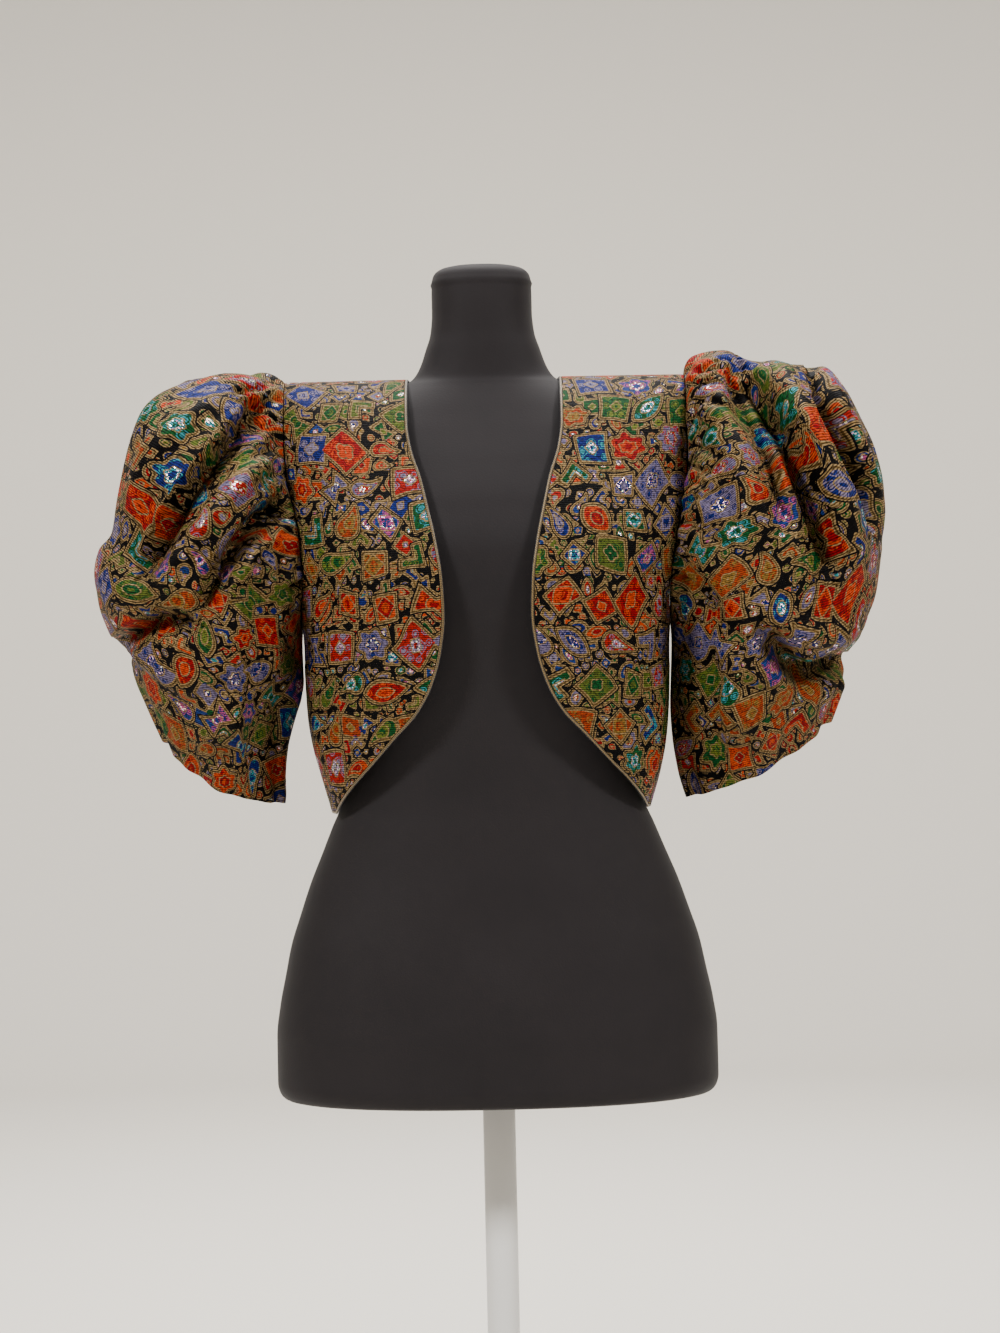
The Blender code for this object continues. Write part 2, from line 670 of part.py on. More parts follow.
def build_pipings(material, collection):
    """The narrow piping along each front's edge and hem, round the back neck and back hem."""
    for side in SIDES:
        down, across = front_grid((ARMHOLE_ROWS, SIDE_ROWS), FRONT_COLUMNS, side)
        outer, inner = body_wall(down, across, side, "front")
        middle = (outer + inner) / 2.0
        edge = beside(middle[:, 0], middle[:, 1])
        hem = beside(middle[-1], middle[-2])
        corner = edge[-1] + hem[0] - middle[-1, 0]
        line = trimmed(np.concatenate([edge[:-1], [corner], hem[1:]]))
        build_tube(f"{side}_front_piping", line, material, collection)
    outer, inner = back_wall_grids()
    middle = (outer + inner) / 2.0
    hem = beside(middle[-1], middle[-2])
    build_tube("back_hem_piping", trimmed(hem), material, collection)
    shoulder = slice(SHOULDER_COLUMNS, middle.shape[1] - SHOULDER_COLUMNS)
    line = beside(middle[0, shoulder], middle[1, shoulder])
    build_tube("back_neck_piping", trimmed(line), material, collection)


def build_stand(material, collection):
    """The pole, and a round base with a boss that the pole stands in."""
    bottom = BORE_FLOOR + SEAM_GAP
    top = UNDERSIDE + SOCKET_DEPTH - SEAM_GAP
    bpy.ops.mesh.primitive_cylinder_add(vertices=ROUND_STEPS, radius=POLE_RADIUS * MM,
                                        depth=(top - bottom) * MM,
                                        location=(0.0, 0.0, (top + bottom) / 2.0 * MM))
    pole = bpy.context.object
    pole.name = pole.data.name = "stand_pole"
    pole.data.materials.append(material)
    pole.data.shade_smooth()
    pole.data.set_sharp_from_angle(angle=SHARP_ANGLE)

    bore = POLE_RADIUS + SEAM_GAP
    foot_out, foot_up = BOSS_FOOT
    profile = [(0.0, BORE_FLOOR), (bore, BORE_FLOOR), (bore, BOSS_HEIGHT),
               (BOSS_RADIUS - BOSS_EDGE, BOSS_HEIGHT), (BOSS_RADIUS, BOSS_HEIGHT - BOSS_EDGE),
               (BOSS_RADIUS + foot_out, BASE_THICKNESS + foot_up),
               (BOSS_RADIUS + FOOT_SPREAD, BASE_THICKNESS)]
    profile += [(BASE_RADIUS - inward, BASE_THICKNESS - lower) for inward, lower in RIM]
    profile += [(BASE_RADIUS, RIM_LIFT), (BASE_RADIUS - RIM_LIFT, 0.0), (0.0, 0.0)]
    mesh = bpy.data.meshes.new("stand_base")
    points = [(r * MM, 0.0, z * MM) for r, z in profile]
    mesh.from_pydata(points, [(i, i + 1) for i in range(len(points) - 1)], [])
    base = add_object("stand_base", mesh, material, collection)
    turn = base.modifiers.new("turn", "SCREW")
    turn.steps = turn.render_steps = ROUND_STEPS
    turn.use_merge_vertices = True
    turn.merge_threshold = MERGE_DISTANCE
    turn.use_smooth_shade = False
    for owner in list(pole.users_collection):
        owner.objects.unlink(pole)
    collection.objects.link(pole)


def main():
    """Build the stand, the form and the jacket."""
    clear_scene()
    collection = bpy.data.collections.new("bolero_jacket_on_dress_form")
    bpy.context.scene.collection.children.link(collection)
    material = {name: make_material(name) for name in FINISHES}
    build_stand(material["stand_enamel"], collection)
    build_form(material["form_jersey"], collection)
    for side in SIDES:
        build_front(side, material["brocade"], collection)
    build_back(material["brocade"], collection)
    for side in SIDES:
        build_sleeve(side, material["brocade"], collection)
    build_pipings(material["piping"], collection)


main()
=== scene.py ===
"""Looks of a bolero jacket in jacquard brocade, on a jersey-covered dress form with an enamelled stand.

Lengths are millimetres until a mesh is made. +Z is up, the form faces -Y, and heights
in the jacket's and the form's tables are counted from the form's flat underside. "Right"
and "left" are the wearer's: the right side is at -X and the left side at +X.
"""

import logging
import math
from collections.abc import Callable
from dataclasses import dataclass
from enum import Enum
from functools import partial

import bmesh
import bpy
import numpy as np
from mathutils import Matrix, Vector


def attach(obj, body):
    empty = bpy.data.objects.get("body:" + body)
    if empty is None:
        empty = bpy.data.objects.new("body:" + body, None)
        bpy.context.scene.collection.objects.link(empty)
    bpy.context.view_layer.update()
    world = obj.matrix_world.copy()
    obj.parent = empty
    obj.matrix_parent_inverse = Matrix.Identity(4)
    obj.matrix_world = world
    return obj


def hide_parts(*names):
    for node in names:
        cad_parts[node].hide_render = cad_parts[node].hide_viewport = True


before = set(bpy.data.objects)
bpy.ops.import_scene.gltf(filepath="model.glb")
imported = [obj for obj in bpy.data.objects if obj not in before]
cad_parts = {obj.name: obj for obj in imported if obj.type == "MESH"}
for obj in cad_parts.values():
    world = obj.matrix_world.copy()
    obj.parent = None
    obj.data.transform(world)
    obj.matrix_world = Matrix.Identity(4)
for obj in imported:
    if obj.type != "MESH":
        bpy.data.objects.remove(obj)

Array = np.ndarray
Table = dict[str, Array]
Colour = tuple[float, float, float, float]
Cloth = tuple[Array, Array, Array]      # outer points, unit vectors inwards and cloth places
AddNode = Callable[..., bpy.types.Node]

MM = 0.001
UNDERSIDE = 800.0       # floor to the form's underside
SEAM_GAP = 0.3          # between pieces that are sewn or that rest on each other
SAMPLES = 2000          # points along a curve whose length is measured
TINY = 1e-6             # keeps a length that divides above nought
FAR = 1e3               # further than any motif
WAVE_SCALE = 0.314      # a wave texture's scale for waves one unit apart: 2π / 20

logging.basicConfig(level=logging.INFO, format="%(message)s")
log = logging.getLogger("bolero_jacket")


class Side(Enum):
    """A side of the wearer, with its sign along X."""

    RIGHT = -1.0
    LEFT = 1.0

    @property
    def label(self) -> str:
        """The side's word in the names of nodes and table columns."""
        return self.name.lower()

    @property
    def other(self) -> "Side":
        """The opposite side."""
        return Side.LEFT if self is Side.RIGHT else Side.RIGHT


class Face(Enum):
    """Front or back of the body, with its sign along Y."""

    FRONT = -1.0
    BACK = 1.0

    @property
    def label(self) -> str:
        """The face's word in the names of table columns."""
        return self.name.lower()


@dataclass(frozen=True)
class Crease:
    """A trough or ridge in the cloth: its course in front view, half width and depth, troughs negative.

    A pinched one has a crisp line along its course, as a pressed or pulled crease has. A steep
    share narrows the crease's left-hand side, where a fold leans over it.
    """

    half_width: float
    depth: float
    out: tuple[float, ...]
    height: tuple[float, ...]
    pinched: bool = False
    steep: float = 1.0


def table(names: str, *rows: tuple[float, ...]) -> Table:
    """Each named column of a short table as an array."""
    return dict(zip(names.split(), np.array(rows, dtype=float).T))


FORM = table(
    "height half_width front back",
    (0, 168, 98, 109), (1.5, 174, 103, 115), (6, 178.5, 106, 119), (14, 180.4, 108, 121),
    (52, 180.2, 108, 123), (77, 177.1, 106, 122), (101, 172.2, 103, 119), (126, 166.9, 99, 114),
    (150, 159.1, 95, 107), (175, 150.5, 91.5, 99), (200, 140.2, 88, 92.5), (222, 131.2, 85.8, 85),
    (236, 125.2, 84.5, 82), (252, 121.8, 84, 84), (280, 120, 85, 85), (320, 126, 90, 90),
    (360, 135, 96, 96), (400, 142, 102, 100), (440, 145, 103, 101), (480, 146, 97, 97),
    (515, 146, 85, 90), (538, 141, 74, 81), (553, 125, 66, 69), (564, 105, 60, 59),
    (573, 86, 54.5, 45.5), (580, 70, 50, 41), (585, 59.2, 47.5, 39.5), (591, 54.2, 47, 40),
    (598, 50.8, 46.8, 41), (610, 46.7, 46.5, 41), (623, 42.6, 46, 41), (640, 41, 46, 41),
    (662, 41, 45.5, 41), (670, 39.5, 43.5, 39.5), (675, 34, 37.5, 34.5), (677, 26, 28.5, 26))

# The jacket's body, down the cloth from the shoulder ridge to the hem
BODY = table(
    "height right left front back",
    (586.5, 176, 176, 0, 0), (585.6, 176, 176, 14, 14), (583, 176, 176, 29, 29),
    (578.5, 176, 176, 42, 43), (571, 176, 176, 54.5, 58), (561, 176, 176, 66, 71),
    (545, 175.5, 176, 78, 81), (520, 173, 174.5, 92, 92), (490, 169, 171, 106, 101),
    (455, 163.5, 164, 119, 106.5), (420, 157, 155, 124.5, 108), (385, 152, 148.5, 121.5, 107),
    (350, 151, 147.5, 115, 104), (314, 149.5, 146, 108, 100.5), (289, 146, 143.5, 103.5, 98),
    (264, 139.5, 138.5, 100, 96.5), (236, 131.8, 130.2, 97, 96))

# How far out the armhole seam lies, on the front and on the back of each side
ARMHOLE = table(
    "height right_front left_front right_back left_back",
    (385, 152, 148.5, 152, 148.5), (400, 150.5, 147, 152.5, 149.5), (425, 148.5, 148.5, 152.5, 152),
    (455, 149.5, 153.5, 153.5, 155.5), (480, 154, 159, 156, 159), (511, 160.5, 163, 159, 162),
    (545, 162, 163.5, 161, 163), (586.5, 162, 163.5, 162, 163.5))

# Half the opening between the fronts, from the hem up to the shoulder
FRONT_EDGE = table(
    "height half_opening",
    (236, 127), (243, 123.5), (256, 114), (275, 96.5), (296, 77.5), (316, 59), (338, 47), (362, 40),
    (390, 36.5), (418, 37.5), (450, 42), (476, 47.5), (500, 53), (524, 60.5), (545, 63.5), (586.5, 64))

# The back neckline, from the centre back out to the shoulder seam
BACK_NECK = table(
    "half_opening height",
    (0, 571), (21, 572.2), (38, 575.8), (50, 579.6), (58, 583.2), (62.5, 585.6), (64, 586.5))

# Sleeve outline in front view from the shoulder round to the hem's outer corner
OUTLINE = {
    Side.RIGHT: table(
        "out height",
        (162, 586.5), (180, 592.5), (207, 595), (237, 589), (262, 580.5), (278, 567), (288, 545),
        (295, 520), (301, 493), (306, 466), (317, 452), (321, 433), (317, 408), (309, 383),
        (294, 367), (290, 350), (280, 326), (268, 299)),
    Side.LEFT: table(
        "out height",
        (163.5, 586.5), (172, 598), (198, 604.5), (218, 596), (250, 592), (277, 590), (294, 573),
        (307, 548), (319, 520), (325, 490), (326, 461), (322, 435), (317, 403), (304, 374),
        (292, 354), (294, 342), (287, 323), (279, 303)),
}

# Sleeve underarm line in front view, from the underarm to the hem's inner corner
UNDERARM = {
    Side.RIGHT: table("out height", (152.7, 385.3), (153.2, 372), (152.4, 343), (154.5, 328),
                      (159.5, 312), (164.5, 290), (168, 262), (170, 242)),
    Side.LEFT: table("out height", (149.2, 385.3), (149.8, 372), (148.6, 343), (147.4, 314),
                     (148.5, 290), (153, 262), (159, 240)),
}

# Half the sleeve's depth, front to back, along its length
PUFF = table(
    "along front back",
    (0, 54, 56), (0.04, 68, 70), (0.1, 84, 87), (0.2, 100, 103), (0.35, 108, 112),
    (0.5, 106, 111), (0.65, 97, 102), (0.78, 82, 88), (0.88, 64, 70), (1, 40, 44))

# Each sleeve's folds: the pleats let down from its head, the tucks under its puff, finer pulls
SLEEVE_CREASES = {
    Side.RIGHT: (
        Crease(16, 9, (211, 236, 265, 283), (571, 554, 527, 488)),
        Crease(20, -34, (181, 208, 236, 256, 272), (564, 528, 495, 465, 436), steep=0.5),
        Crease(8, -11, (184, 208, 236, 254), (560, 528, 495, 468), True),
        Crease(10, -10, (190, 213, 231, 241), (524, 498, 471, 448), True),
        Crease(13, 11, (170, 197, 222, 243, 256), (522, 494, 464, 441, 418)),
        Crease(20, -31, (157, 179, 198, 215, 225), (491, 474, 451, 429, 402), steep=0.45),
        Crease(8, -11, (160, 179, 198, 214), (489, 474, 451, 430), True),
        Crease(18, -12, (178, 184, 188), (412, 340, 262)),
        Crease(12, 7, (166, 186, 206, 222), (462, 444, 418, 390)),
        Crease(9, -8, (170, 178, 183), (454, 438, 410), True),
        Crease(18, 7, (306, 284, 258, 240), (406, 412, 420, 412)),
        Crease(20, -24, (234, 257, 276, 304), (390, 395, 389, 374), steep=0.4),
        Crease(7, -6, (298, 276, 258), (376, 387, 393), True),
        Crease(8, -8, (160, 175, 194), (570, 565, 567), True),
        Crease(6, -4, (164, 184, 200), (428, 420, 404), True),
        Crease(6, -7, (166, 182, 200), (586, 579, 574), True),
        Crease(6, -7, (162, 176, 190), (553, 546, 540), True),
        Crease(6, -6, (160, 172, 186), (538, 527, 519), True),
        Crease(5, -5, (158, 170, 182), (514, 506, 500), True),
        Crease(11, -5, (258, 276, 290), (500, 468, 432), True),
        Crease(9, -5, (168, 172, 172), (352, 306, 256), True),
        Crease(13, -4, (186, 214, 246), (352, 334, 322)),
        Crease(12, 3, (182, 208, 240), (326, 306, 292)),
        Crease(11, -3, (184, 206, 232), (298, 282, 272)),
    ),
    Side.LEFT: (
        Crease(20, 8, (176, 193, 206, 214), (566, 526, 490, 456)),
        Crease(14, -24, (197, 207, 219, 238), (592, 549, 523, 458)),
        Crease(22, -42, (215, 231, 246, 261, 275), (584, 548, 523, 480, 424), steep=0.45),
        Crease(8, -12, (214, 228, 242, 256), (580, 548, 523, 482), True),
        Crease(18, -12, (168, 174, 180), (412, 340, 262)),
        Crease(7, -7, (200, 208, 220, 234), (584, 549, 523, 470), True),
        Crease(15, 13, (238, 252, 268, 286, 297), (588, 545, 508, 465, 424)),
        Crease(18, -25, (312, 302, 287, 271, 263), (452, 483, 514, 549, 582), steep=0.35),
        Crease(8, -10, (265, 272, 288, 303, 310), (578, 549, 514, 483, 456), True),
        Crease(11, 6, (280, 292, 306, 316), (570, 545, 508, 470)),
        Crease(17, 10, (222, 246, 276, 296), (388, 371, 367, 378)),
        Crease(22, -34, (224, 240, 253, 270, 300), (372, 352, 341, 346, 352), steep=0.3),
        Crease(7, -6, (230, 240, 251, 266), (357, 343, 333, 339), True),
        Crease(18, -8, (142, 160, 180, 199), (438, 407, 383, 359)),
        Crease(6, -5, (163, 184, 204), (561, 557, 549), True),
        Crease(6, -7, (166, 180, 192), (588, 585, 592), True),
        Crease(5, -6, (163, 176, 192), (576, 573, 575), True),
        Crease(6, -6, (160, 174, 188), (526, 521, 512), True),
        Crease(5, -5, (158, 168, 180), (510, 505, 500), True),
        Crease(6, -4, (161, 172, 184), (542, 540, 535), True),
        Crease(7, -4, (165, 176, 192), (496, 488, 478), True),
        Crease(6, -4, (158, 174, 190), (462, 452, 440), True),
        Crease(10, -4, (246, 262, 276), (450, 426, 400), True),
        Crease(13, -4, (168, 196, 226), (352, 330, 322)),
        Crease(12, 3, (170, 200, 238), (322, 300, 288)),
        Crease(11, -3, (172, 194, 220), (292, 276, 268)),
    ),
}
FRONT_CREASES = {
    Side.RIGHT: (
        Crease(14, -2.2, (150, 128, 108), (430, 404, 384)),
        Crease(12, -1.8, (152, 136, 120), (372, 350, 336)),
        Crease(16, 1.8, (96, 84, 70), (470, 420, 372)),
        Crease(12, -1.6, (136, 128, 122), (318, 290, 262)),
        Crease(11, -1.8, (156, 142, 130), (520, 506, 488)),
    ),
    Side.LEFT: (
        Crease(14, -2.4, (148, 130, 112), (436, 414, 386)),
        Crease(12, -2.0, (146, 134, 116), (366, 350, 344)),
        Crease(16, 1.6, (90, 80, 66), (480, 430, 380)),
        Crease(11, -1.8, (130, 124, 118), (312, 284, 258)),
        Crease(12, -1.6, (158, 144, 134), (512, 496, 470)),
    ),
}
BACK_CREASES = {
    Side.RIGHT: (
        Crease(16, -2.6, (150, 122, 96), (440, 410, 392)),
        Crease(14, -2.0, (140, 120, 104), (350, 326, 312)),
        Crease(20, 2.0, (40, 36, 30), (500, 420, 330)),
        Crease(14, -1.8, (150, 130, 112), (526, 508, 486)),
    ),
    Side.LEFT: (
        Crease(16, -2.4, (150, 126, 100), (448, 422, 398)),
        Crease(14, -2.0, (136, 112, 90), (338, 322, 310)),
        Crease(18, 1.8, (56, 48, 44), (470, 400, 340)),
        Crease(13, -1.8, (150, 134, 116), (516, 502, 484)),
    ),
}


def smooth(at: Array | float, known_at: Array, known: Array) -> Array:
    """Monotone cubic through the known values, so that no row overshoots its neighbours.

    Args:
        at: where values are wanted.
        known_at: rising places of the known values.
        known: the known values.

    Returns:
        A value for each wanted place.
    """
    at, known_at, known = (np.asarray(v, dtype=float) for v in (at, known_at, known))
    step = np.diff(known_at)
    slope = np.diff(known) / step
    before, after = slope[:-1], slope[1:]
    same_way = before * after > 0
    total = np.where(same_way, before + after, 1.0)
    middle = np.where(same_way, 2.0 * before * after / total, 0.0)
    tangent = np.concatenate([slope[:1], middle, slope[-1:]])
    cell = np.clip(np.searchsorted(known_at, at) - 1, 0, len(step) - 1)
    t = np.clip((at - known_at[cell]) / step[cell], 0.0, 1.0)
    rise = known[cell + 1] - known[cell]
    start, end = tangent[cell] * step[cell], tangent[cell + 1] * step[cell]
    curve = t * t * (3.0 - 2.0 * t) * rise
    return known[cell] + curve + t * (1.0 - t) ** 2 * start - t * t * (1.0 - t) * end


def smooth_path(share: Array, columns: Table) -> tuple[Array, Array]:
    """Places out and heights at shares of the length of a path drawn through a table's rows."""
    knots = np.arange(len(columns["out"]), dtype=float)
    fine = np.linspace(0.0, knots[-1], SAMPLES)
    out, height = smooth(fine, knots, columns["out"]), smooth(fine, knots, columns["height"])
    length = np.concatenate([[0.0], np.cumsum(np.hypot(np.diff(out), np.diff(height)))])
    wanted = np.asarray(share) * length[-1]
    return np.interp(wanted, length, out), np.interp(wanted, length, height)


def signed_power(value: Array, power: float) -> Array:
    """A power that keeps the sign of its base."""
    return np.sign(value) * np.abs(value) ** power


def ease(t: Array) -> Array:
    """A soft step from 0 to 1: 3t² − 2t³, held outside that range."""
    t = np.clip(t, 0.0, 1.0)
    return t * t * (3.0 - 2.0 * t)


def bell(distance: Array, width: float) -> Array:
    """A rounded bump: 1 in its middle, and e to the power −(distance / width)² beside it."""
    return np.exp(-(distance / width) ** 2)


def unit(vectors: Array) -> Array:
    """Vectors of the same directions, of length 1."""
    return vectors / np.linalg.norm(vectors, axis=-1, keepdims=True)


def running_length(points: Array, axis: int) -> Array:
    """Distance along a grid's lines from their first points, down one of its two axes."""
    step = np.linalg.norm(np.diff(points, axis=axis), axis=-1)
    start = np.zeros_like(np.take(step, [0], axis=axis))
    return np.concatenate([start, np.cumsum(step, axis=axis)], axis=axis)


def normals(grid: Array, centre: Array, closed: bool = False) -> Array:
    """Unit normals of a grid: the cross product of its two directions, turned away from centre.

    Args:
        grid: points, rows by columns by 3.
        centre: a point, or a point for each row, that the surface goes round.
        closed: whether the last column meets the first.

    Returns:
        A unit vector for each point.
    """
    if closed:
        wrapped = np.concatenate([grid[:, -1:], grid, grid[:, :1]], axis=1)
        across = wrapped[:, 2:] - wrapped[:, :-2]
    else:
        across = np.gradient(grid, axis=1)
    normal = np.cross(np.gradient(grid, axis=0), across)
    normal /= np.maximum(np.linalg.norm(normal, axis=-1, keepdims=True), TINY * MM)
    return normal * np.sign(((grid - centre) * normal).sum())


def flattened(grid: Array, start: Array, rounds: int = 40) -> Array:
    """A grid laid out flat with the least stretch, each triangle kept as rigid as it can be.

    Each round turns every triangle's own flat shape to fit its present corners best, then
    finds the corners that fit all turned triangles, weighted by their cotangents.

    Args:
        grid: points, rows by columns by 3.
        start: a first guess of the flat places, rows by columns by 2.
        rounds: how often the two steps are repeated.

    Returns:
        The flat places, in the guess's shape.
    """
    least, most = 0.05, 20.0    # a weight's limits, so that no thin triangle rules its neighbours
    count = grid.shape[0] * grid.shape[1]
    quads = grid_faces(*grid.shape[:2])
    corners = np.concatenate([quads[:, [0, 1, 2]], quads[:, [0, 2, 3]]])
    solid = grid.reshape(-1, 3)[corners]
    first, second = solid[:, 1] - solid[:, 0], solid[:, 2] - solid[:, 0]
    base = np.maximum(np.linalg.norm(first, axis=-1), TINY)
    along = (first * second).sum(-1) / base
    rise = np.sqrt(np.maximum((second ** 2).sum(-1) - along ** 2, TINY))
    zero = np.zeros_like(base)
    local = np.stack([zero, zero, base, zero, along, rise], axis=-1).reshape(-1, 3, 2)
    edge = local - np.roll(local, -1, axis=1)
    after, before = np.roll(edge, -1, axis=1), np.roll(edge, -2, axis=1)
    turned_area = np.abs(after[..., 0] * before[..., 1] - after[..., 1] * before[..., 0])
    weight = np.clip(-(after * before).sum(-1) / np.maximum(turned_area, TINY), least, most)
    following = np.roll(corners, -1, axis=1)
    system = np.zeros((count, count))
    for a, b, sign in ((corners, corners, 1), (following, following, 1),
                       (corners, following, -1), (following, corners, -1)):
        np.add.at(system, (a, b), sign * weight)
    system[0, 0] += 1.0
    inverse = np.linalg.inv(system)
    flat = start.reshape(-1, 2).copy()
    for _ in range(rounds):
        present = flat[corners] - flat[following]
        dot = (weight * (edge * present).sum(-1)).sum(-1)
        cross = (weight * (edge[..., 0] * present[..., 1] - edge[..., 1] * present[..., 0])).sum(-1)
        angle = np.arctan2(cross, dot)[:, None]
        turned_edge = np.stack([edge[..., 0] * np.cos(angle) - edge[..., 1] * np.sin(angle),
                                edge[..., 0] * np.sin(angle) + edge[..., 1] * np.cos(angle)], -1)
        pull = np.zeros_like(flat)
        np.add.at(pull, corners, weight[..., None] * turned_edge)
        np.add.at(pull, following, -weight[..., None] * turned_edge)
        pull[0] += start.reshape(-1, 2)[0]
        flat = inverse @ pull
    return flat.reshape(start.shape)


def spread(values: Array, rows_at: Array, columns_at: Array, rows: Array, columns: Array) -> Array:
    """Values of a coarse grid at the places of a finer one, straight between its points.

    Args:
        values: the coarse grid's values, rows by columns by numbers.
        rows_at: where its rows lie.
        columns_at: where its columns lie.
        rows: where the fine grid's rows lie.
        columns: where the fine grid's columns lie.

    Returns:
        The fine grid's values.
    """
    row = np.clip(np.searchsorted(rows_at, rows) - 1, 0, len(rows_at) - 2)
    column = np.clip(np.searchsorted(columns_at, columns) - 1, 0, len(columns_at) - 2)
    down = ((rows - rows_at[row]) / (rows_at[row + 1] - rows_at[row]))[:, None, None]
    over = (columns - columns_at[column]) / (columns_at[column + 1] - columns_at[column])
    over = over[None, :, None]
    upper, lower = (values[at][:, column] * (1 - over) + values[at][:, column + 1] * over
                    for at in (row, row + 1))
    return upper * (1 - down) + lower * down


def crease_lift(out: Array, height: Array, creases: tuple[Crease, ...]) -> Array:
    """Height of creases at points in front view.

    Each lifts the cloth by depth × (1 − t²)², or depth × (1 − t)^1.6 where it is pinched,
    with t the distance from its course over the half width of that side, and it thins to its ends.

    Args:
        out: places out from the centre plane.
        height: heights from the form's underside.
        creases: the creases.

    Returns:
        The lift of each point.
    """
    lift = np.zeros_like(out)
    end_share, pinch = 0.3, 1.6
    for crease in creases:
        path = np.stack([np.array(crease.out, float), np.array(crease.height, float)], axis=-1)
        nearest = np.full(out.shape, np.inf)
        place, width = np.zeros_like(out), np.ones_like(out)
        for number, (a, b) in enumerate(zip(path[:-1], path[1:])):
            run = b - a
            t = ((out - a[0]) * run[0] + (height - a[1]) * run[1]) / (run @ run)
            t = np.clip(t, 0.0, 1.0)
            distance = np.hypot(out - a[0] - t * run[0], height - a[1] - t * run[1])
            closer = distance < nearest
            nearest = np.where(closer, distance, nearest)
            place = np.where(closer, (number + t) / (len(path) - 1), place)
            left = run[0] * (height - a[1]) - run[1] * (out - a[0]) > 0.0
            width = np.where(closer, np.where(left, crease.steep, 1.0), width)
        aside = np.clip(nearest / (crease.half_width * width), 0.0, 1.0)
        profile = (1.0 - aside) ** pinch if crease.pinched else (1.0 - aside ** 2) ** 2
        arch = np.sqrt(np.clip(4.0 * place * (1.0 - place), 0.0, 1.0))
        lift += crease.depth * profile * (end_share + (1.0 - end_share) * arch)
    return lift


# The brocade's design in plan

def chance(column: Array, row: Array, salt: float) -> Array:
    """A repeatable value from 0 to 1 for each pair of cell numbers: the fraction of a large sine."""
    by_column, by_row, by_salt, large = 127.1, 311.7, 74.7, 43758.5453      # with no common measure
    mixed = np.sin(column * by_column + row * by_row + salt * by_salt) * large
    return mixed - np.floor(mixed)


class Motif(Enum):
    """Ordinary ornamental figures, each a distance that is negative inside it."""

    SQUARE = 0
    BOTEH = 1
    DIAMOND = 2
    ROSETTE = 3
    LEAF = 4
    QUATREFOIL = 5
    BOW = 6
    CORNER = 7
    DISC = 8
    HOOK = 9

    def distance(self, x: Array, y: Array, half: Array) -> Array:
        """Signed distance in millimetres to the figure's edge, its parts being shares of its half size.

        Args:
            x: sideways place in the figure's own frame.
            y: upward place.
            half: half the figure's size.

        Returns:
            Negative inside the figure and positive outside.
        """
        a, b = np.abs(x), np.abs(y)
        if self is Motif.SQUARE:
            return np.maximum(a, b) - half
        if self is Motif.DIAMOND:
            return (a + b - half) * 0.7071
        if self is Motif.DISC:
            return np.hypot(x, y) - half
        if self is Motif.LEAF:
            return np.hypot(a + half * 1.1, y) - half * 1.7
        if self is Motif.ROSETTE:
            return np.hypot(x, y) - half * (0.88 + 0.14 * np.cos(6.0 * np.arctan2(y, x)))
        if self is Motif.QUATREFOIL:
            lobe = half * 0.55
            return np.minimum(np.hypot(a - lobe, b), np.hypot(a, b - lobe)) - half * 0.48
        if self is Motif.BOW:
            return np.maximum(a - half, b - half * 0.25 - a * 0.55) * 0.9
        if self is Motif.CORNER:
            cut = np.maximum(np.abs(x - half * 0.7), np.abs(y - half * 0.7)) - half * 0.95
            return np.maximum(np.maximum(a, b) - half * 0.85, -cut)
        if self is Motif.HOOK:
            ring = np.abs(np.hypot(x, y) - half * 0.62) - half * 0.24
            cut = np.maximum(ring, half * 0.1 - a - y)
            return np.minimum(cut, np.hypot(x - half * 0.55, y + half * 0.3) - half * 0.4)
        return self.drop(x, y, half)

    @staticmethod
    def drop(x: Array, y: Array, half: Array) -> Array:
        """A boteh: the cone round a large and a small circle, its tip bent sideways as rise²."""
        large, small, tall, bend, centre = 0.62, 0.1, 1.35, 0.55, 0.12
        height, up = half * tall, y + half * 0.55
        rise = np.clip(up / height, 0.0, 1.3)
        bent = np.abs(x - half * bend * rise ** 2 + half * centre)
        slope = (large - small) / tall
        side = math.sqrt(1.0 - slope ** 2)
        along = side * up - slope * bent
        low, high = np.hypot(bent, up) - half * large, np.hypot(bent, up - height) - half * small
        flank = side * bent + slope * up - half * large
        return np.where(along < 0.0, low, np.where(along > side * height, high, flank))


